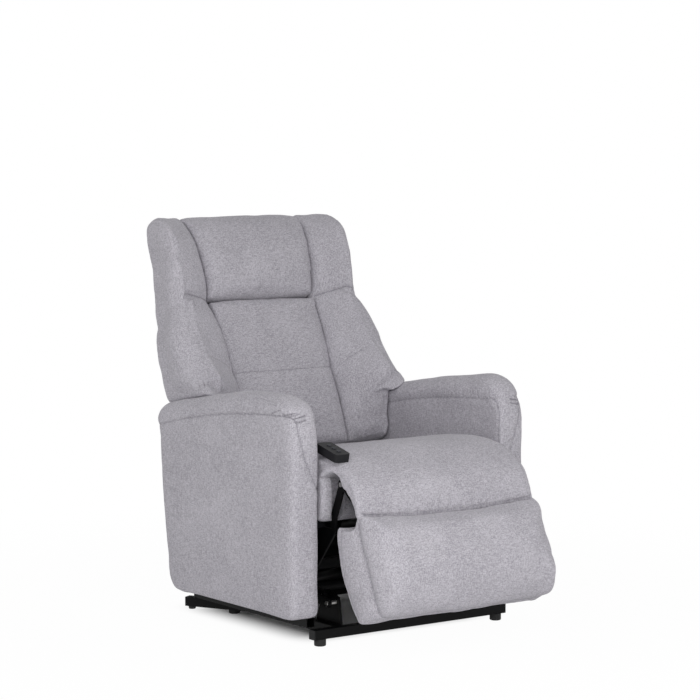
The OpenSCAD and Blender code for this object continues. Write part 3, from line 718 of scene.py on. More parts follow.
def gather(obj, seam, start, end, pitch, height, side=1, lean=0.0, reach=0.026):
    """Pleats that fan out of one side of a seam between two distances along it."""
    mesh = obj.data
    p, n = mesh_points(mesh), mesh_normals(mesh)
    at, away, run, sided = seam.near(p, reach * 2.5)
    on = np.exp(-(away / reach) ** 1.5) * (sided * side > -0.001)
    grown = rising(run, start, 0.02) * falling(run, end, 0.02)
    phase = 2 * math.pi * (run + lean * away) / pitch + 1.7 * np.sin(run * 90)
    fold = np.cos(phase) - 0.35 * np.cos(2 * phase + 0.6)
    p[at] += n[at] * (height * fold * on * grown)[:, None]
    set_points(mesh, p)


def crease(obj, points, depth, width, shade, fade=0.03):
    """A short fold that fades at both ends, its depth and width in millimetres. shade is how dark
    the painted shade in it is.
    """
    sew(obj, [Seam(obj, points, 3.0)], depth / (upholstery().seam_depth * MM),
        width / (upholstery().seam_width * MM), shade, fade)


def rumple(obj, height, size, seed, keep=None):
    """Slow unevenness of stuffed cloth: a few crossed waves with directions from a fixed seed."""
    rng = np.random.default_rng(seed)
    mesh = obj.data
    p, n = mesh_points(mesh), mesh_normals(mesh)
    total = np.zeros(len(p))
    for _ in range(9):
        way = rng.normal(size=3)
        way *= rng.uniform(0.6, 1.5) * 2 * math.pi / size / np.linalg.norm(way)
        total += np.sin(p @ way + rng.uniform(0, 6.28))
    share = 1.0 if keep is None else keep(p * MM)
    set_points(mesh, p + n * (height * total / 3 * share)[:, None])


def dressed(obj, body, fill, slot, *stands_for):
    """Gives a finished cover its cloth, its place attribute, its body and its CAD nodes."""
    mesh = obj.data
    shaded_smooth(mesh)
    p = mesh_points(mesh)
    marked(mesh, "cloth_at", "FLOAT_VECTOR").data.foreach_set(
        "vector", p.astype(np.float32).ravel())
    marked(mesh, "seam_shade")
    # How far each point stands out, which sets the painted highlight on edges.
    marked(mesh, "edge_wear").data.foreach_set("value", sharpness(mesh).astype(np.float32))
    mesh.materials.clear()
    mesh.materials.append(heather_cloth())
    mesh.update()
    if body:
        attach(obj, body)
    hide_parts(*stands_for)


def lined(obj, inside):
    """Black cloth on the faces whose middles inside picks, in millimetres: in part a real cover, in
    part painted shade where the inside of the chair lies in shadow.
    """
    mesh = obj.data
    mesh.materials.append(black_lining())
    picked = inside(read(mesh.polygons, "center") * MM)
    mesh.polygons.foreach_set("material_index", picked.astype(np.int32))
    mesh.update()


def sharpness(mesh):
    """How far each point stands out of its surroundings, 0 to 1."""
    net, p, n = Net(mesh), mesh_points(mesh), mesh_normals(mesh)
    a, b, count = net.a, net.b, np.maximum(net.count, 1)
    span = np.linalg.norm(p[a] - p[b], axis=1) + 1e-9
    out = net.total(np.einsum("ij,ij->i", p[a] - p[b], n[a]) / span,
                    np.einsum("ij,ij->i", p[b] - p[a], n[b]) / span) / count
    for _ in range(6):
        out = 0.5 * out + 0.5 * net.total(out[b], out[a]) / count
    return rising(out, 0.02, 0.10)


def to_other_side(mesh):
    p = mesh_points(mesh)
    p[:, 0] *= -1
    set_points(mesh, p)
    mesh.flip_normals()


def mirrored(obj, name):
    """The same piece for the other side of the chair."""
    mesh = obj.data.copy()
    to_other_side(mesh)
    return new_object(name, mesh)


def both_sides(obj, points):
    """A seam on the left of the chair and its like on the right."""
    return [Seam(obj, [(s * x, y, z) for x, y, z in points]) for s in (-1, 1)]


def seat_frame(q):
    """Depth behind the arms' front, and height as the seat's outlines are drawn."""
    return q[:, 1] - ARM_FRONT, q[:, 2] - SEAT_LIFT


STITCH_INPUTS = (
    ("Lines", "Geometry", {}),
    ("Pitch", "Float", {"default_value": 0.004, "min_value": 0.001}),
    ("Thickness", "Float", {"default_value": 0.0009, "min_value": 0.0001}),
    ("Share", "Float", {"default_value": 0.72, "min_value": 0.1, "max_value": 1.0}),
    ("Finish", "Material", {}))

STITCH_NODES = {
    "curve": ("GeometryNodeMeshToCurve", {}),
    "spaced": ("GeometryNodeResampleCurve", {"mode": "LENGTH"}),
    "ball": ("GeometryNodeMeshUVSphere", {}),
    "tangent": ("GeometryNodeInputTangent", {}),
    "turn": ("FunctionNodeAlignRotationToVector", {"axis": "Z"}),
    "long": ("ShaderNodeMath", {"operation": "MULTIPLY"}),
    "size": ("ShaderNodeCombineXYZ", {}),
    "laid": ("GeometryNodeInstanceOnPoints", {}),
    "real": ("GeometryNodeRealizeInstances", {}),
    "paint": ("GeometryNodeSetMaterial", {}),
    "given": ("NodeGroupInput", {}),
    "out": ("NodeGroupOutput", {})}

STITCH_LINKS = (
    ("given", "Lines", "curve", "Mesh"), ("curve", 0, "spaced", "Curve"),
    ("given", "Pitch", "spaced", "Length"), ("given", "Pitch", "long", 0),
    ("given", "Share", "long", 1), ("given", "Thickness", "size", 0),
    ("given", "Thickness", "size", 1), ("long", 0, "size", 2),
    ("tangent", 0, "turn", "Vector"), ("spaced", 0, "laid", "Points"),
    ("ball", "Mesh", "laid", "Instance"), ("turn", 0, "laid", "Rotation"),
    ("size", 0, "laid", "Scale"), ("laid", 0, "real", 0), ("real", 0, "paint", "Geometry"),
    ("given", "Finish", "paint", "Material"), ("paint", 0, "out", 0))


def stitch_tree():
    """Lays a stitch at each pitch along the lines of a mesh."""
    tree = bpy.data.node_groups.get("stitch_row")
    if tree:
        return tree
    tree = bpy.data.node_groups.new("stitch_row", "GeometryNodeTree")
    for name, kind, settings in STITCH_INPUTS:
        socket = tree.interface.new_socket(name, in_out="INPUT", socket_type=f"NodeSocket{kind}")
        for key, value in settings.items():
            setattr(socket, key, value)
    tree.interface.new_socket("Stitches", in_out="OUTPUT", socket_type="NodeSocketGeometry")
    nodes = {}
    for name, (kind, settings) in STITCH_NODES.items():
        nodes[name] = tree.nodes.new(kind)
        for key, value in settings.items():
            setattr(nodes[name], key, value)
    for key, value in (("Segments", 6), ("Rings", 5), ("Radius", 0.5)):
        nodes["ball"].inputs[key].default_value = value
    for start, leaving, end, entering in STITCH_LINKS:
        tree.links.new(nodes[start].outputs[leaving], nodes[end].inputs[entering])
    return tree


def stitched(name, seams, body, sunk=0.8):
    """Rows of stitches in the bottoms of seams, as one piece. sunk is a share of a seam's depth."""
    size = upholstery()
    points, edges = [], []
    for seam in seams:
        start, line = len(points), seam.at - seam.out * (size.seam_depth * sunk)
        points += [tuple(p) for p in line]
        edges += [(start + i, start + i + 1) for i in range(len(line) - 1)]
    obj = new_object(name, new_mesh(name, points, edges=edges))
    mod = obj.modifiers.new("stitches", "NODES")
    mod.node_group = tree = stitch_tree()
    named = {s.name: s.identifier for s in tree.interface.items_tree}
    for key, value in (("Pitch", size.stitch_pitch), ("Thickness", size.stitch_size),
                       ("Finish", sewing_thread())):
        mod[named[key]] = value
    made_plain(obj)
    if body:
        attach(obj, body)
    return obj


def column(points, *more):
    """Adds columns to outline points: a number for all, or one for each."""
    p = np.asarray(points, float)
    extra = [np.full(len(p), m) if np.isscalar(m) else np.asarray(m, float) for m in more]
    return np.column_stack([p, *extra])


# ---------------------------------------------------------------- the chair's soft pieces

ARM_OUTLINE = [
    # depth and height
    (24, 72), (6, 80), (0, 100), (0, 180), (0, 300), (0, 430), (-1, 520), (0, 560), (3, 590),
    (11, 614), (22, 633), (40, 648), (62, 657), (90, 661), (130, 658), (186, 652), (250, 645),
    (322, 636), (390, 626), (457, 614), (530, 601), (590, 590), (632, 580), (658, 562),
    (665, 538), (658, 505), (651, 450), (645, 390), (638, 320), (630, 253), (618, 175),
    (606, 108), (590, 84), (565, 72), (450, 72), (300, 72), (150, 72)]

ARM_FOLDS = [
    # depth of the fold, how dark its painted shade is, and its points: across, depth and height
    (1.8, 0.20, [(-380, 132, 596), (-378, 112, 602), (-374, 92, 612)]),
    (2.6, 0.45, [(-380, 99, 597), (-378, 78, 604), (-373, 54, 616)]),
    (3.6, 0.80, [(-380, 52, 596), (-373, 30, 600), (-358, 13, 608)]),
    (3.0, 0.60, [(-380, 30, 595), (-367, 14, 600), (-347, 7, 608)]),
    (3.8, 0.85, [(-379, 18, 593), (-366, 8, 594), (-346, 4, 597), (-330, 3, 600)]),
    (3.0, 0.70, [(-378, 8, 585), (-362, 2, 584), (-340, 1, 588), (-330, 1, 590)]),
    (1.2, 0.20, [(-374, 190, 634), (-374, 135, 636), (-372, 82, 632)]),
    (1.4, 0.30, [(-374, 84, 622), (-367, 80, 638)]),
    (1.4, 0.30, [(-372, 68, 624), (-364, 62, 641)])]


def arm_seam_height(depth):
    """Height of the seam between an arm's panel and its pad, which falls towards the rear."""
    return 595 - 0.00019 * depth ** 2


def arm_loop(step):
    """The arm's outline with how round its edges are at each point."""
    p = np.array(ARM_OUTLINE, float)
    z = p[:, 1]
    top = rising(z, 540, 80)
    rear = rising(p[:, 0], 560, 90) * rising(z, 480, 90)
    low = falling(z, 110, 35)
    roundness = 15 + 19 * np.maximum(top, rear) - 5 * low
    half = (ARM_OUT - ARM_IN) / 2
    over = np.minimum(roundness * 1.08, half - 2)
    return flowing(column(p, half, roundness, over), step, closed=True, measured=2)


def arm_seams(obj):
    """Seam between panel and pad: along the outer face, down across the front, and inside."""
    out, inn = -ARM_OUT, -ARM_IN
    side = [(out, y, arm_seam_height(y))
            for y in (648, 600, 540, 470, 400, 320, 240, 160, 100, 60, 30)]
    turn = [(out + 1, 12, 594), (out + 7, 1, 588), (-366, -2, 566), (-360, -2, 545),
            (-351, -2, 516), (-343, -2, 488), (-331, -2, 459), (-318, -2, 434), (-306, 0, 415),
            (inn, 12, 404)]
    inside = [(inn, y, arm_seam_height(y)) for y in (620, 520, 400, 280, 160, 80, 30)]
    inside += [(inn, 14, 560), (inn, 14, 500), (inn, 14, 440), (inn, 12, 404)]
    return Seam(obj, side + turn), Seam(obj, inside)


class CHAIR_OT_arm_covers(bpy.types.Operator):
    """Upholstered arms with padded tops, gathered at the front corners"""
    bl_idname = "chair.arm_covers"
    bl_label = "Arm covers"

    def execute(self, context):
        size = upholstery()

        def soft(p):
            low = rising(p[:, 2], 74, 20) * 0.8 + 0.1
            inner = np.clip((p[:, 0] + ARM_IN + 8) / 6, 0, 1) * falling(p[:, 2], 600, 40)
            return low * (1 - 0.9 * inner)

        obj = stuffed("arm_cover_right", arm_loop(9), size.cell * 1.06, size.arm_rise, soft,
                      middle=-(ARM_IN + ARM_OUT) / 2)
        finer(obj, lambda q: (q[:, 2] > 560) & (q[:, 1] < ARM_FRONT + 150) & (q[:, 0] < -322))
        self.swell(obj)
        rumple(obj, 0.0009, 0.20, 11, lambda q: rising(q[:, 2], 80, 60))
        rumple(obj, 0.0006, 0.07, 12, lambda q: rising(q[:, 2], 520, 60))
        outer, inner = arm_seams(obj)
        corner = outer.run[np.argmin(np.linalg.norm(
            outer.at * MM - np.array([-ARM_OUT + 4, ARM_FRONT + 3, 590]), axis=1))]
        gather(obj, outer, corner - 0.075, corner + 0.045, 0.0125, 0.0011)
        gather(obj, inner, inner.run[-1] * 0.52, inner.run[-1] * 0.80, 0.013, 0.0014, -1)
        sew(obj, [outer], 0.55, 0.8, 0.5)
        sew(obj, [inner], 0.6, 0.9, 0.4)
        rear_edge = [(-ARM_OUT + 2, y, z) for y, z in (
            (648, 514), (641, 440), (634, 350), (624, 260), (610, 175))]
        sew(obj, [Seam(obj, rear_edge + [(-ARM_OUT + 3, 594, 110)])], 0.35, 1.2, 0.25, 0.03)
        for deep, dark, points in ARM_FOLDS:
            crease(obj, points, deep, 2.4, dark, 0.008)
        twin = mirrored(obj, "arm_cover_left")
        self.settle(obj)
        for side, cover in (("right", obj), ("left", twin)):
            dressed(cover, "chair", 0.7, "arm_fabric", f"arm_panel_{side}", f"arm_pad_{side}")
            # Black cloth on the lower inner faces: in part a real cover, in part painted shade.
            lined(cover, lambda q: (np.abs(q[:, 0]) < ARM_IN + 5) & (q[:, 2] < SEAT_TOP - 150)
                  & (q[:, 1] > ARM_FRONT + 16))
            rows = stitched(f"arm_stitches_{side}", [outer, inner], None)
            if side == "right":
                self.settle(rows)
            else:
                to_other_side(rows.data)
            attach(rows, "chair")
        return {"FINISHED"}

    def swell(self, obj):
        """The fuller belt of the pad just above its seam."""
        p, n = mesh_points(obj.data), mesh_normals(obj.data)
        mm = p * MM
        above = mm[:, 2] - arm_seam_height(mm[:, 1] - ARM_FRONT)
        pad = np.exp(-((above - 26) / 22) ** 2) * np.clip(np.abs(n[:, 0]) * 1.5, 0, 1)
        p += n * (2.4 / MM * pad)[:, None]
        set_points(obj.data, p)

    def settle(self, obj):
        """Presses down the front of the pad that the sitter leans on beside the hand control."""
        p = mesh_points(obj.data)
        depth, height = p[:, 1] * MM - ARM_FRONT, p[:, 2] * MM
        sunk = 1 - eased(rising(depth, 55, 205))
        p[:, 2] -= 16.0 / MM * sunk * rising(height, 602, 46)
        set_points(obj.data, p)


SEAT_OUTLINE = [
    # depth, height, how far the end is drawn in
    (500, 428, 12), (426, 438, 14), (357, 449, 15), (262, 464, 15), (194, 479, 15),
    (126, 487, 15), (70, 491, 15), (20, 492, 15), (-14, 488, 15), (-42, 477, 15),
    (-66, 463, 15), (-90, 447, 14), (-114, 429, 13), (-131, 407, 12), (-142, 384, 9),
    (-148, 366, 6), (-149, 352, 4), (-146, 343, 3), (-139, 342, 0), (-133, 349, 0),
    (-128, 362, -2), (-118, 376, -3), (-104, 389, -4), (-84, 404, -4), (-66, 418, -4),
    (-56, 434, -1), (-42, 446, 2), (-24, 449, 4), (-6, 441, 4), (12, 433, 4), (38, 432, 4),
    (44, 424, 4), (46, 400, 4), (48, 362, 4), (56, 348, 4), (90, 347, 5), (200, 347, 6),
    (350, 347, 6), (460, 347, 6), (494, 352, 6), (503, 372, 8), (505, 404, 10)]


class CHAIR_OT_seat_cover(bpy.types.Operator):
    """Seat cushion that runs on over its front roll into the upper leg panel"""
    bl_idname = "chair.seat_cover"
    bl_label = "Seat and upper leg panel"

    def execute(self, context):
        size = upholstery()
        p = np.array(SEAT_OUTLINE, float)
        p[:, 1] += SEAT_LIFT
        ahead = falling(p[:, 0], 30, 60)
        half = (ARM_IN - 3.5) * (1 - ahead) + (ARM_IN - 12.5) * ahead
        over = 46 - 14 * ahead
        loop = flowing(np.column_stack([p[:, :2], half, p[:, 2], over]), 8, True, 2)

        def soft(q):
            depth, height = q[:, 1] - ARM_FRONT, q[:, 2]
            top = rising(height, 400, 40)
            far = np.hypot(depth - ROLL_CENTRE[0], height - ROLL_CENTRE[1])
            inside = np.clip(far / 14 - 3.1, 0, 1)
            panel = np.clip((-20 - depth) / 40, 0, 1)
            knuckle = rising(height, 352, 60)
            side = np.clip((ARM_IN - 2 - np.abs(q[:, 0])) / 12, 0.05, 1)
            return np.maximum(top * inside, panel * knuckle * 0.8) * side

        obj = stuffed("seat_cover", loop, size.cell, size.seat_rise, soft)
        self.swell(obj)
        rumple(obj, 0.0013, 0.24, 21, self.showing)
        rumple(obj, 0.0006, 0.08, 22, self.showing)
        edge = ARM_IN - 13
        self.side_folds(obj, edge)
        ends = both_sides(obj, [(edge, -146, 352), (edge, -136, 384), (edge, -112, 414),
                                (edge, -84, 434), (edge, -52, 456)])
        sew(obj, ends, 0.15, 1.0, 0.12, 0.02)
        # Painted shade: a dark line along the flap's lower edge, where the gap above the leg rest
        # pad lies in shadow.
        wide = ARM_IN - 20
        gap_shade_line = [(x, -149, 361 - LIP_DIP * (1 - (x / wide) ** 4))
               for x in np.linspace(-wide, wide, 15)]
        sew(obj, [Seam(obj, gap_shade_line)], 0.1, 1.0, 0.55)
        dressed(obj, None, 0.7, "leg_fabric", "seat_cushion", "flap_cushion")
        placed((0, -11, 470))
        placed((0, -80, 470))
        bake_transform(obj)
        return {"FINISHED"}

    def showing(self, q):
        return rising(q[:, 2], 360, 60)

    def swell(self, obj):
        """The crown of the seat across its width, and its dip towards the middle."""
        p, n = mesh_points(obj.data), mesh_normals(obj.data)
        mm = p * MM
        depth = mm[:, 1] - ARM_FRONT
        across = np.clip(1 - (mm[:, 0] / ARM_IN) ** 2, 0, 1)
        hollow = np.exp(-((depth - 230) / 130) ** 2) * across
        p[:, 2] -= 5.0 / MM * hollow * np.clip(n[:, 2], 0, 1)
        p[:, 2] -= lip_sag(mm, ARM_IN - 12.5) / MM * np.clip((-100 - depth) / 15, 0, 1)
        set_points(obj.data, p)

    def side_folds(self, obj, edge):
        """Short folds where the panel's cloth turns in at the front corners of the seat."""
        for s in (-1, 1):
            for line, depth in ((((0, 0, 484), (4, -22, 474), (22, -48, 466)), 1.6),
                                (((0, -24, 470), (10, -44, 462), (34, -62, 458)), 1.2),
                                (((0, 14, 486), (16, 0, 488), (42, -14, 487)), 0.8)):
                crease(obj, [(s * (edge + 1 - x), y, z) for x, y, z in line], depth, 5, 0.08)


class CHAIR_OT_front_rail_cover(bpy.types.Operator):
    """Padded rail below the front of the seat"""
    bl_idname = "chair.front_rail_cover"
    bl_label = "Front rail cover"

    def execute(self, context):
        rim = [(40, 320), (40, 370), (40, 420), (36, 436), (24, 444), (11, 440), (3, 424), (0, 392),
               (1, 356), (6, 330), (14, 319), (27, 316)]
        p = np.array(rim, float)
        p[:, 1] += SEAT_LIFT
        loop = flowing(column(p, ARM_IN - 6, 12, 22), 6, True, 2)
        obj = stuffed("front_rail_cover", loop, upholstery().cell * 0.9, 0.002)
        rumple(obj, 0.0008, 0.10, 31)
        self.slots(obj)
        dressed(obj, "chair", 0.7, "seat_fabric", "seat_front_rail")
        return {"FINISHED"}

    def slots(self, obj):
        """Shallow channels that the hinge arms of the leg rest swing into."""
        p = mesh_points(obj.data)
        beside = np.abs(np.abs(p[:, 0]) * MM - HINGE_ARM)
        short = np.clip(13 - (p[:, 1] * MM - ARM_FRONT), 0, None)
        p[:, 1] += short / MM * eased(falling(beside, 20, 8))
        set_points(obj.data, p)


LEG_OUTLINE = [
    # depth, height, how far the end is drawn in, and over how much width
    (-150, 347, 4, 10), (-160, 356, 5, 10), (-173, 361, 9, 10), (-190, 356, 22, 14),
    (-205, 341, 42, 19), (-219, 316, 58, 21), (-234, 285, 62, 21), (-250, 252, 62, 21),
    (-263, 216, 60, 21), (-269, 186, 56, 21), (-267, 160, 50, 21), (-258, 135, 44, 20),
    (-242, 116, 36, 19), (-220, 104, 28, 17), (-196, 95, 18, 14), (-176, 84, 8, 12),
    (-160, 84, 6, 12), (-143, 96, 6, 12), (-116, 127, 6, 12), (-92, 172, 6, 12),
    (-79, 219, 6, 12), (-69, 268, 6, 12), (-66, 303, 6, 12), (-74, 318, 5, 12),
    (-92, 314, 4, 12), (-120, 312, 4, 12), (-142, 324, 4, 10)]


LIP_DIP = 13.0


def lip_sag(q, half):
    """How far the line between the upper leg panel and its pad dips towards the middle."""
    depth, height = seat_frame(q)
    near = np.exp(-((depth + 165) / 45) ** 2 - ((height - 352) / 34) ** 2)
    return LIP_DIP * near * np.clip(1 - (q[:, 0] / half) ** 4, 0, 1)


# Seams of the leg rest's side panels, as depth and height.
GUSSET_FRONT = [(-134, 334), (-141, 303), (-155, 275), (-172, 242), (-189, 199), (-205, 158),
                (-215, 128), (-218, 108)]
GUSSET_REAR = [(-72, 312), (-72, 270), (-84, 220), (-98, 172), (-122, 130), (-150, 97)]


class CHAIR_OT_leg_rest_cover(bpy.types.Operator):
    """Leg rest pad with its side gussets"""
    bl_idname = "chair.leg_rest_cover"
    bl_label = "Leg rest pad"

    def execute(self, context):
        size = upholstery()
        p = np.array(LEG_OUTLINE, float)
        p[:, 1] += SEAT_LIFT
        x = ARM_IN - 16.5
        loop = flowing(np.column_stack([p[:, :2], np.full(len(p), x), p[:, 2:]]), 8, True, 2)

        def soft(q):
            depth, height = seat_frame(q)
            far = np.hypot(depth + 118, height - 352)
            inward = np.clip((x + 4 - np.abs(q[:, 0])) / 16, 0.15, 1)
            return rising(far, 34, 30) * np.clip((-depth - 40) / 60, 0.15, 1) * inward

        obj = stuffed("leg_rest_cover", loop, size.cell * 0.9, size.leg_rise, soft, 14)
        self.gusset(obj, x)
        rumple(obj, 0.0014, 0.22, 41)
        rumple(obj, 0.0006, 0.075, 42)
        sides, rears = (both_sides(obj, [(x, *q) for q in line])
                        for line in (GUSSET_FRONT, GUSSET_REAR))
        lower = Seam(obj, [(-x + 8, -219, 105), (-150, -224, 102), (0, -226, 101), (150, -224, 102),
                           (x - 8, -219, 105)])
        sew(obj, sides, 2.0, 2.0, 0.35)
        sew(obj, rears, 0.6, 1.2, 0.4)
        sew(obj, [lower], 0.7, 1.2, 0.5)
        dressed(obj, "leg_rest", 0.75, "leg_fabric", "leg_rest_cushion")
        stitched("leg_rest_stitches", sides + [lower], "leg_rest", 1.0)
        return {"FINISHED"}

    def gusset(self, obj, half):
        """Fills out the side panels between their two seams, and lets the upper lip dip."""
        p = mesh_points(obj.data)
        mm = p * MM
        depth, height = seat_frame(mm)
        front = np.interp(height, [108, 158, 199, 242, 303, 334],
                          [-218, -205, -189, -172, -141, -134])
        rear = np.interp(height, *zip(*[(z, y) for y, z in reversed(GUSSET_REAR)]))
        across = np.clip((depth - front) / (rear - front), 0, 1)
        outer = np.clip((np.abs(mm[:, 0]) - half + 14) / 10, 0, 1)
        p[:, 0] += np.sign(p[:, 0]) * 5.0 / MM * np.sin(math.pi * across) ** 0.8 * outer
        end = eased(np.clip((np.abs(mm[:, 0]) - half + 20) / 18, 0, 1))
        rearward = np.clip((depth - rear + 30) / 28, 0, 1) * rising(height, 150, 120)
        lip = rising(height, 285, 45)
        p[:, 1] += (15.0 + 9.0 * np.maximum(rearward * 0.6, lip)) / MM * end
        p[:, 2] -= 5.0 / MM * end * falling(height, 135, 40)
        p[:, 2] -= lip_sag(mm, half) / MM
        set_points(obj.data, p)


def seam_half(up):
    """Half width of the middle cushions at a height on the back."""
    return np.interp(up, [85, 217, 305, 530, 660, 790], [168, 170, 167, 177, 186, 196])


def strap_front(up):
    """Depth of the straps and posts that the cushions lie on."""
    return POST_LEAN * np.asarray(up, float) + 13.5


def back_frame(q):
    """How far points stand in front of the back's hinge line, and how far up the back."""
    depth, height = q[:, 1] - ARM_FRONT - BACK_HINGE[0], q[:, 2] - BACK_HINGE[1]
    c, s = lean()
    return -depth * c + height * s, depth * s + height * c


def back_cushion(name, front, rear, over, draw, rise):
    """A cushion between the wings, from its front and rear profiles of depth and height."""
    rim = np.array(front + rear, float)
    drawn = np.concatenate([np.full(len(front), draw), np.full(len(rear), 2.0)])
    loop = flowing(column(rim, seam_half(rim[:, 1]) - 1.5, drawn, over), 8, True, 2)

    def soft(q):
        ahead, up = back_frame(q)
        face = np.clip((ahead - strap_front(up) - 12) / 40, 0, 1)
        return face * np.clip((seam_half(up) - np.abs(q[:, 0])) / 14, 0.06, 1)

    return stuffed(name, loop, upholstery().cell * 0.88, rise, soft, 18,
                   place=lambda points: placed(leaned(points)))


class CHAIR_OT_back_cushions(bpy.types.Operator):
    """Lumbar and middle cushions in one sewn cover, and the headrest, between the wings"""
    bl_idname = "chair.back_cushions"
    bl_label = "Back cushions"

    def execute(self, context):
        rise = upholstery().back_rise
        self.centre(rise * 0.35)
        self.headrest(rise)
        return {"FINISHED"}

    def centre(self, rise):
        tier = 305.0
        front = [(62, 86), (78, 90), (90, 138), (99, 200), (103, 262), (103, tier), (106, 345),
                 (110, 390), (111, 440), (109, 484), (108, 514), (104, 526), (96, 530), (70, 530)]
        rear = [(strap_front(u) + 0.8, u) for u in (528.5, 420, 308, 200, 87)]
        obj = back_cushion("centre_cover", front, rear, 150, 5, rise)
        rumple(obj, 0.0010, 0.19, 51)
        rumple(obj, 0.0005, 0.07, 52)
        half = float(seam_half(tier)) - 2
        line = [(x, 104, tier + 2.5 * (x / half) ** 2) for x in np.linspace(-half, half, 9)]
        seam = Seam(obj, leaned(line))
        sew(obj, [seam], 0.7, 1.3, 0.20)
        dressed(obj, "back", 0.6, "back_fabric", "lumbar_cushion", "middle_cushion")
        stitched("centre_stitches", [seam], "back", 0.6)

    def headrest(self, rise):
        front = [(66, 530.5), (95, 530.8), (104, 535), (113, 551), (124, 580), (133, 610),
                 (139, 645), (140, 688), (135, 732), (124, 764), (106, 785), (82, 793), (60, 786),
                 (50, 771)]
        rear = [(54, 757), (72, 752), (74, 742)]
        rear += [(strap_front(u) + 1, u) for u in (700, 620, 560, 534)]
        obj = back_cushion("headrest_cover", front, rear, 120, 9, rise)
        rumple(obj, 0.0012, 0.19, 55)
        rumple(obj, 0.0005, 0.07, 56)
        dressed(obj, "back", 0.6, "back_fabric", "headrest_cushion")


# Where the wing's foot runs: how far ahead of the hinge line, and how far up the back.
WING_LOW = ([-6, 35, 75, 114, 153, 205], [272, 263, 253, 240, 227, 212])
POST_TOP = 757.0


def round_post(x0, low, back):
    """The part of a section that fits round the outer side and front of a back post."""
    post = POST_OUT + 0.9
    return [(post, (low + back) / 2), (post, back), ((x0 + post) / 2, back), (x0, back)]


def body_ring(up, inner, outer, outer_x, rear, belly):
    """A level section through the inner body of a back side: across, ahead, up."""
    x0, x1 = seam_half(up) + 1.0, outer_x
    back = float(strap_front(up)) + 1.0
    points = [(x0, inner - 12), (x0 + 4, inner - 2 + belly * 0.25), (x0 + 19, inner + 2 + belly)]
    for t in (0.35, 0.6, 0.82):
        points.append((x0 + (x1 - x0) * t, inner + (outer - inner) * t ** 1.1
                       + belly * (1 - 0.8 * t)))
    points += [(x1 - 9, outer + 1), (x1 - 2, outer - 7), (x1, outer - 22)]
    low = min(rear, back)
    x2 = x1 + float(np.interp(up, [350, 440, 500, 540, 590, 630], [0, 15, 14, 10, 3, 0]))
    points += [((x1 + x2) / 2, back + (outer - back) * 0.5), (x2, low + 8), (x2 - 3, low)]
    if up > POST_TOP:
        points += [(x0 + (x1 - x0) * t, low) for t in (0.85, 0.65, 0.45, 0.25, 0.12, 0)]
    else:
        points += [(POST_OUT + 0.9, low + 0.5)] + round_post(x0, low, back)
    return [(x, v, up) for x, v in points]


def wing_ring(share, up, outer_x, outer, rear, inner):
    """A section through the outer wing. share is 0 on its slanting foot and 1 where it is level."""
    x0 = 186.0
    back = float(strap_front(up)) + 1.0
    post = POST_OUT + 0.9
    low = min(rear, back)
    points = [(x0, inner - 12), (x0 + 8, inner), (x0 + 44, inner + (outer - inner) * 0.30),
              (x0 + 84, inner + (outer - inner) * 0.66), (outer_x - 44, outer - 7),
              (outer_x - 19, outer), (outer_x - 5, outer - 16), (outer_x, outer - 40),
              (outer_x, rear + (outer - rear) * 0.55), (outer_x, rear + (outer - rear) * 0.25),
              (outer_x, rear + 12), (outer_x - 6, rear), (post + 8, low), (post, low + 2)]
    points += round_post(x0, low, back)
    out = []
    for x, v in points:
        foot = np.interp(v, *WING_LOW) - 24 * min(1.0, max(0.0, (outer_x - x) / 40)) ** 2
        out.append((x, v, foot * (1 - share) + up * share))
    return out


def ring_stack(rings, around=110, step=8):
    """A smooth closed form through rings of equal count."""
    even = [flowing_to(r, around) for r in rings]
    columns = [flowing([e[i] for e in even], step) for i in range(around)]
    rows = max(len(c) for c in columns)
    grid = []
    for c in columns:
        t = np.linspace(0, len(c) - 1, rows)
        grid.append(np.stack([np.interp(t, np.arange(len(c)), c[:, k]) for k in range(3)], 1))
    grid = np.array(grid)
    return bands([grid[:, r] for r in range(rows)])


def flowing_to(points, count):
    """A smooth closed curve through points with a set count."""
    fine = flowing(points, 1.5, True)
    t = np.linspace(0, len(fine), count, endpoint=False)
    i = np.floor(t).astype(int) % len(fine)
    j = (i + 1) % len(fine)
    f = (t - np.floor(t))[:, None]
    return fine[i] * (1 - f) + fine[j] * f


BODY_RINGS = [
    # up, inner depth, outer depth, outer half width, rear depth, belly
    (92, 70, 98, 288, 30, 0), (112, 80, 112, 295, 30, 2), (138, 88, 123, 296, 30, 5),
    (162, 92, 137, 296, 32, 14), (188, 96, 153, 296, 34, 19), (205, 98, 168, 296, 35, 22),
    (222, 99, 186, 296, 36, 24), (240, 101, 199, 296, 36, 24), (262, 102, 198, 296, 34, 24),
    (305, 101, 180, 296, 20, 19), (350, 105, 162, 296, 16, 17), (400, 107, 150, 296, 12, 14),
    (455, 105, 149, 296, 9, 12), (505, 98, 151, 296, 8, 5), (532, 98, 154, 296, 9, 3),
    (562, 110, 163, 296, 13, 6), (600, 122, 171, 296, 22, 8), (640, 128, 177, 296.5, 36, 8),
    (682, 130, 179, 296.5, 43, 8), (715, 127, 175, 296.5, 46, 7), (742, 119, 161, 295.5, 50, 5),
    (766, 109, 138, 293, 56, 3), (783, 98, 112, 285, 62, 1), (790, 88, 92, 272, 66, 0)]

WING_RINGS = [
    # share, up, outer half width, outer depth, rear depth, inner depth
    (0.0, 240, 338, 206, 16, 112), (0.12, 262, 339, 202, 12, 112), (0.40, 300, 339, 189, 4, 106),
    (0.75, 345, 339, 172, 3, 104), (1.0, 392, 338, 158, 5, 108), (1.0, 430, 334, 153, 8, 107),
    (1.0, 462, 325, 152, 8, 104), (1.0, 490, 312, 152, 9, 101), (1.0, 514, 299, 152, 10, 99)]


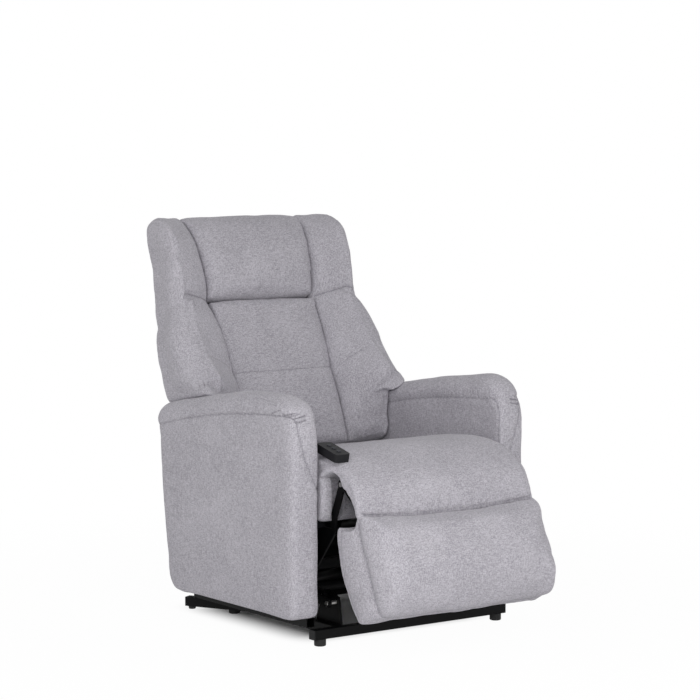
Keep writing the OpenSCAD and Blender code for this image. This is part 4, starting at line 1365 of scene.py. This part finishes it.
class CHAIR_OT_wing_covers(bpy.types.Operator):
    """Side bolsters of the back: head, wing and lower bolster in one cover on each side"""
    bl_idname = "chair.wing_covers"
    bl_label = "Back side covers"

    def execute(self, context):
        size = upholstery()
        body = ring_stack([body_ring(*r) for r in BODY_RINGS])
        wing = ring_stack([wing_ring(*r) for r in WING_RINGS])
        shells = []
        for points, faces in (body, wing):
            flipped = points * np.array([-1, 1, 1])
            shells.append((placed(leaned(flipped)), [f[::-1] for f in faces]))
        obj = cut_cloth("wing_cover_right", shells, size.cell * 0.68, 8)

        def soft(q):
            ahead, up = back_frame(q)
            face = np.clip((ahead - strap_front(up) - 8) / 40, 0, 1)
            out = np.clip((np.abs(q[:, 0]) - seam_half(up)) / 16, 0.05, 1)
            clear = np.clip((up - np.interp(ahead, *WING_LOW) - 6) / 24, 0, 1)
            held = np.where(np.abs(q[:, 0]) > 294, clear, 1.0) * np.where(
                (np.abs(q[:, 0]) > 278) & (up < 250), 0.1, 1.0)
            return face * out * held

        filled(obj, size.wing_rise, soft)
        refined(obj)
        rumple(obj, 0.0013, 0.17, 61)
        rumple(obj, 0.0007, 0.065, 62)

        def line(*points):
            return leaned(np.array([(-x, v, u) for x, v, u in points]))

        upper = Seam(obj, line((178, 98, 529), (205, 108, 530), (237, 122, 532), (262, 138, 534),
                               (280, 148, 530), (291, 152, 520)))
        lower = Seam(obj, line((168, 100, 302), (195, 110, 306), (221, 119, 316), (256, 128, 326),
                               (290, 138, 336)))
        edge = Seam(obj, line((338, 96, 440), (338, 101, 400), (338, 106, 350), (338, 111, 300),
                              (338, 115, 262)))
        sew(obj, [upper], 1.5, 1.3, 0.45)
        sew(obj, [lower], 1.1, 1.3, 0.25, 0.04)
        sew(obj, [edge], -0.35, 1.2, 0.0, 0.03)
        for a, b, depth in (((300, 104, 525), (300, 198, 517), 1.5),
                            ((318, 123, 366), (322, 186, 342), 1.6),
                            ((300, 120, 545), (298, 160, 540), 0.9),
                            ((240, 120, 345), (290, 140, 352), 0.9)):
            middle = tuple((p + q) / 2 + w for p, q, w in zip(a, b, (2, 0, 4)))
            crease(obj, line(a, middle, b), depth, 6, 0.05)
        foot = Seam(obj, line((292, 160, 244), (310, 172, 240), (328, 182, 240), (336, 170, 244),
                              (338, 130, 258), (338, 90, 272)))
        gather(obj, foot, 0.0, foot.run[-1], 0.014, 0.0005, lean=0.1)
        # Pleats at the wing's foot, each darkened with painted shade.
        for a, b, depth, dark in (((338, 172, 240), (338, 164, 264), 2.4, 0.30),
                                  ((333, 190, 240), (334, 183, 270), 3.0, 0.45),
                                  ((325, 198, 239), (327, 192, 258), 2.0, 0.30),
                                  ((317, 203, 239), (320, 197, 266), 3.0, 0.45),
                                  ((304, 205, 238), (307, 199, 258), 2.2, 0.30)):
            middle = tuple((p + q) / 2 for p, q in zip(a, b))
            crease(obj, line(a, middle, b), depth, 2.6, dark, 0.012)
        twin = mirrored(obj, "wing_cover_left")
        dressed(obj, "back", 0.6, "back_fabric", "back_bolster_right")
        dressed(twin, "back", 0.6, "back_fabric", "back_bolster_left")
        rows = stitched("wing_stitches_right", [upper, lower], "back", 1.2)
        other = mirrored(rows, "wing_stitches_left")
        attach(other, "back")
        return {"FINISHED"}


class CHAIR_OT_rear_cover(bpy.types.Operator):
    """Cover stretched over the rear of the back"""
    bl_idname = "chair.rear_cover"
    bl_label = "Rear cover of the back"

    def execute(self, context):
        # A cover from the foot to the top of the back, with a notch for the back's actuator.
        half, foot, top = POST_OUT - 0.5, 40.0, 761.0
        notch_half, notch_top = 30.0, 88.0
        across = np.linspace(-half, half, 73)
        ups = np.linspace(foot, top, 93)
        points = []
        for u in ups:
            arch = math.sin(math.pi * (u - foot) / (top - foot)) ** 0.35
            for x in across:
                swell = 13 * (1 - abs(x / half) ** 5) * arch
                points.append((x, POST_LEAN * u - 11.5 - 7.5 - swell, u))
        # its inner face, just off the posts
        points += [(x, POST_LEAN * u - 11.6, u) for u in ups for x in across]
        wide, tall, layer = len(across), len(ups), len(across) * len(ups)

        def open_cell(r, i):
            mid_x, mid_u = (across[i] + across[i + 1]) / 2, (ups[r] + ups[r + 1]) / 2
            return abs(mid_x) < notch_half and mid_u < notch_top

        cells = {(r, i) for r in range(tall - 1) for i in range(wide - 1) if not open_cell(r, i)}
        faces = []
        for r, i in sorted(cells):
            a, d = r * wide + i, (r + 1) * wide + i
            b, c = a + 1, d + 1
            faces.append((a, d, c, b))
            faces.append((a + layer, b + layer, c + layer, d + layer))
            for (p, q), other in (((a, b), (r - 1, i)), ((b, c), (r, i + 1)), ((c, d), (r + 1, i)),
                                  ((d, a), (r, i - 1))):
                if other not in cells:
                    faces.append((p, q, q + layer, p + layer))
        used = sorted({i for f in faces for i in f})
        index = {old: new for new, old in enumerate(used)}
        mesh = new_mesh("rear_cover", placed(leaned(np.array(points)[used])),
                        [tuple(index[i] for i in f) for f in faces])
        obj = new_object("rear_cover", mesh)
        soften = obj.modifiers.new("soft", "BEVEL")
        soften.width, soften.segments, soften.limit_method = 0.003, 3, "ANGLE"
        soften.angle_limit = math.radians(50)
        made_plain(obj)
        refined(obj)
        rumple(obj, 0.0008, 0.16, 71)
        edge, low, high = half - 22, foot + 30, top - 34
        rim = np.array([(x, POST_LEAN * u - 27, u) for x, u in (
            (-edge, low), (-edge, 300), (-edge, high), (0, high), (edge, high), (edge, 300),
            (edge, low))])
        seams = [Seam(obj, leaned(line)) for line in (rim[:3], rim[2:5], rim[4:])]
        sew(obj, seams, 0.7, 1.2, 0.4)
        dressed(obj, "back", 0.5, "back_fabric", "back_rear_panel")
        stitched("rear_stitches", seams, "back")
        return {"FINISHED"}


class CHAIR_OT_dust_cloth(bpy.types.Operator):
    """Black cloth stretched between the rear ends of the arms, below the back: painted shade, a
    dark sheet that blacks out the open rear under the seat
    """
    bl_idname = "chair.dust_cloth"
    bl_label = "Dust cloth"

    def execute(self, context):
        half, foot, top, depth = ARM_IN - 1.0, 50.0, 296.0, 634.0
        wide, tall = 67, 30
        across, ups = np.linspace(-half, half, wide), np.linspace(foot, top, tall)
        x, z = np.meshgrid(across, ups)
        share = (z - foot) / (top - foot)
        slack = np.sin(math.pi * share) * (1 - (x / half) ** 4)
        y = depth - 5 * slack + 1.6 * np.sin(x / 31 + 2.2 * np.sin(x / 83)) * (1 - share) ** 1.5
        points = np.stack([x, y, z], -1).reshape(-1, 3)
        faces = [(r * wide + i, r * wide + i + 1, (r + 1) * wide + i + 1, (r + 1) * wide + i)
                 for r in range(tall - 1) for i in range(wide - 1)]
        obj = new_object("dust_cloth", new_mesh("dust_cloth", placed(points), faces))
        thick = obj.modifiers.new("thick", "SOLIDIFY")
        thick.thickness, thick.offset = 0.0014, 0
        made_plain(obj)
        shaded_smooth(obj.data)
        obj.data.materials.append(black_lining())
        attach(obj, "chair")
        return {"FINISHED"}


# ---------------------------------------------------------------- steel, timber and plastic

HARD_FINISHES = {
    "frame_paint": lambda: coated_steel("paint"),
    "mechanism_paint": lambda: coated_steel("mechanism"),
    "pin_steel": plated_steel,
    "rod_steel": plated_steel,
    "motor_plastic": lambda: moulded_plastic("plastic"),
    "cap_plastic": lambda: moulded_plastic("plastic"),
    "handset_plastic": lambda: moulded_plastic("handset"),
    "button_plastic": lambda: moulded_plastic("button"),
    "timber": sawn_timber,
    "strap_web": woven_strap,
    "foot_rubber": soft_rubber,
}

# Timber that the black cloth covers, in part a real cover and in part painted shade inside the
# chair.
SHADE_LINED = ("seat_side_rails", "flap_board", "leg_rest_board")


class CHAIR_OT_hard_finishes(bpy.types.Operator):
    """Paint, plating, timber and plastic on the solid parts of the frame"""
    bl_idname = "chair.hard_finishes"
    bl_label = "Hard finishes"

    def execute(self, context):
        for name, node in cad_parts.items():
            word = node.data.materials[0].name.split(".")[0]
            if word not in HARD_FINISHES:
                continue
            finish = black_lining() if name in SHADE_LINED else HARD_FINISHES[word]()
            for i in range(len(node.data.materials)):
                node.data.materials[i] = finish
            weld = node.modifiers.new("joined", "WELD")
            weld.merge_threshold = 0.00002
            edge = node.modifiers.new("edges", "BEVEL")
            edge.width = 0.0004 if "handset" in name or "button" in name else 0.0007
            edge.segments, edge.limit_method, edge.angle_limit = 2, "ANGLE", math.radians(40)
        return {"FINISHED"}


# ---------------------------------------------------------------- stage

CAMERA_AT = (-3.9959, -5.5081, 1.3324)
CAMERA_LOOK = (0.5865, 0.8051, -0.0889)


class CHAIR_OT_stage(bpy.types.Operator):
    """Pale floor, soft lamps, white surroundings and the camera"""
    bl_idname = "chair.stage"
    bl_label = "Stage"

    def execute(self, context):
        size = context.scene.chair_stage
        self.floor(size.floor_half)
        self.room(context.scene, size.room)
        self.lamp("key_lamp", (-2.7, -2.9, 2.1), (0.0, 0.0, 0.5), 2.2, size.key)
        self.lamp("front_lamp", (-0.5, -2.6, 0.9), (0.0, -0.4, 0.35), 1.4, size.front)
        self.lamp("fill_lamp", (-4.0, -0.6, 2.0), (0.0, 0.1, 0.5), 2.6, size.fill)
        camera = new_object("camera", bpy.data.cameras.new("camera"))
        camera.data.lens = size.lens
        camera.data.sensor_width = 36.0
        camera.location = CAMERA_AT
        camera.rotation_euler = Vector(CAMERA_LOOK).to_track_quat("-Z", "Y").to_euler()
        camera.data.clip_end = 100
        context.scene.camera = camera
        context.scene.view_settings.view_transform = "Standard"
        return {"FINISHED"}

    def lamp(self, name, at, to, side, power):
        data = bpy.data.lights.new(name, "AREA")
        data.shape, data.size, data.energy = "SQUARE", side, power
        lamp = new_object(name, data)
        lamp.location = at
        lamp.rotation_euler = (Vector(to) - Vector(at)).to_track_quat("-Z", "Y").to_euler()

    def seen_white(self, tree):
        """1 for the rays of the camera, glass and gloss, and 0 for all others."""
        path = tree.nodes.new("ShaderNodeLightPath")
        most = path.outputs["Is Camera Ray"]
        for word in ("Is Glossy Ray", "Is Transmission Ray"):
            node = tree.nodes.new("ShaderNodeMath")
            node.operation = "MAXIMUM"
            tree.links.new(most, node.inputs[0])
            tree.links.new(path.outputs[word], node.inputs[1])
            most = node.outputs[0]
        return most

    def room(self, scene, strength):
        world = bpy.data.worlds.new("room")
        scene.world = world
        world.use_nodes = True
        tree = world.node_tree
        tree.nodes.clear()
        either, out = tree.nodes.new("ShaderNodeMixShader"), tree.nodes.new("ShaderNodeOutputWorld")
        tree.links.new(self.seen_white(tree), either.inputs[0])
        for i, power in ((1, strength), (2, 1.0)):
            white = tree.nodes.new("ShaderNodeBackground")
            white.inputs["Color"].default_value = (1, 1, 1, 1)
            white.inputs["Strength"].default_value = power
            tree.links.new(white.outputs[0], either.inputs[i])
        tree.links.new(either.outputs[0], out.inputs[0])

    def floor(self, half):
        mesh = new_mesh("floor", [(-half, -half, 0), (half, -half, 0), (half, half, 0),
                                  (-half, half, 0)], [(0, 1, 2, 3)])
        obj = new_object("floor", mesh)
        f = Finish("pale_floor")
        at = f.place()
        x, y, _ = f.parts(at)
        grain = f.noise(at, 0.004, 2.0)
        pale = f.blend(grain, rgba((0.90, 0.90, 0.90)), rgba((0.94, 0.94, 0.94)))
        f.done(Base_Color=pale, Roughness=0.9, Specular_IOR_Level=0.1,
               Normal=f.bump(grain, 0.0002, 0.2))
        glow = f.node("ShaderNodeEmission", {"Color": (1, 1, 1, 1), "Strength": 1.0})
        # The camera sees the floor white, apart from its shadow under the chair.
        under = (1 - x.do("ABSOLUTE").between(0.20, 0.34)) * (1 - (y * -1).between(0.14, 0.28)) \
            * (1 - y.between(0.24, 0.42))
        far = (x * x + y * y).do("SQRT").between(0.7, 2.2)
        share = Shade(f, self.seen_white(f.tree)) * (1 - under) * (0.975 + far * 0.025)
        both = f.node("ShaderNodeMixShader", [share, f.shader.outputs[0], glow.outputs[0]])
        f.tree.links.new(both.outputs[0], f.out.inputs["Surface"])
        mesh.materials.append(f.material)


# ---------------------------------------------------------------- panel and run

PIECES = (CHAIR_OT_hard_finishes, CHAIR_OT_arm_covers, CHAIR_OT_seat_cover,
          CHAIR_OT_front_rail_cover, CHAIR_OT_leg_rest_cover, CHAIR_OT_back_cushions,
          CHAIR_OT_wing_covers, CHAIR_OT_rear_cover, CHAIR_OT_dust_cloth, CHAIR_OT_stage)


class CHAIR_PT_sidebar(bpy.types.Panel):
    """Lists the chair's settings and the steps that make its pieces"""
    bl_idname = "CHAIR_PT_sidebar"
    bl_label = "Lift Recliner Chair"
    bl_space_type = "VIEW_3D"
    bl_region_type = "UI"
    bl_category = "Chair"

    def draw(self, context):
        layout = self.layout
        for group in (context.scene.chair_upholstery, context.scene.chair_colours,
                      context.scene.chair_stage):
            box = layout.box()
            for key in group.__annotations__:
                box.prop(group, key)
        for piece in PIECES:
            layout.operator(piece.bl_idname)


CLASSES = (ChairUpholstery, ChairColours, ChairStage, *PIECES, CHAIR_PT_sidebar)


def register():
    for cls in CLASSES:
        bpy.utils.register_class(cls)
    bpy.types.Scene.chair_upholstery = PointerProperty(type=ChairUpholstery)
    bpy.types.Scene.chair_colours = PointerProperty(type=ChairColours)
    bpy.types.Scene.chair_stage = PointerProperty(type=ChairStage)


def unregister():
    for key in ("chair_upholstery", "chair_colours", "chair_stage"):
        delattr(bpy.types.Scene, key)
    for cls in reversed(CLASSES):
        bpy.utils.unregister_class(cls)


def main():
    register()
    for piece in PIECES:
        family, step = piece.bl_idname.split(".")
        getattr(getattr(bpy.ops, family), step)()


if __name__ == "__main__":
    main()
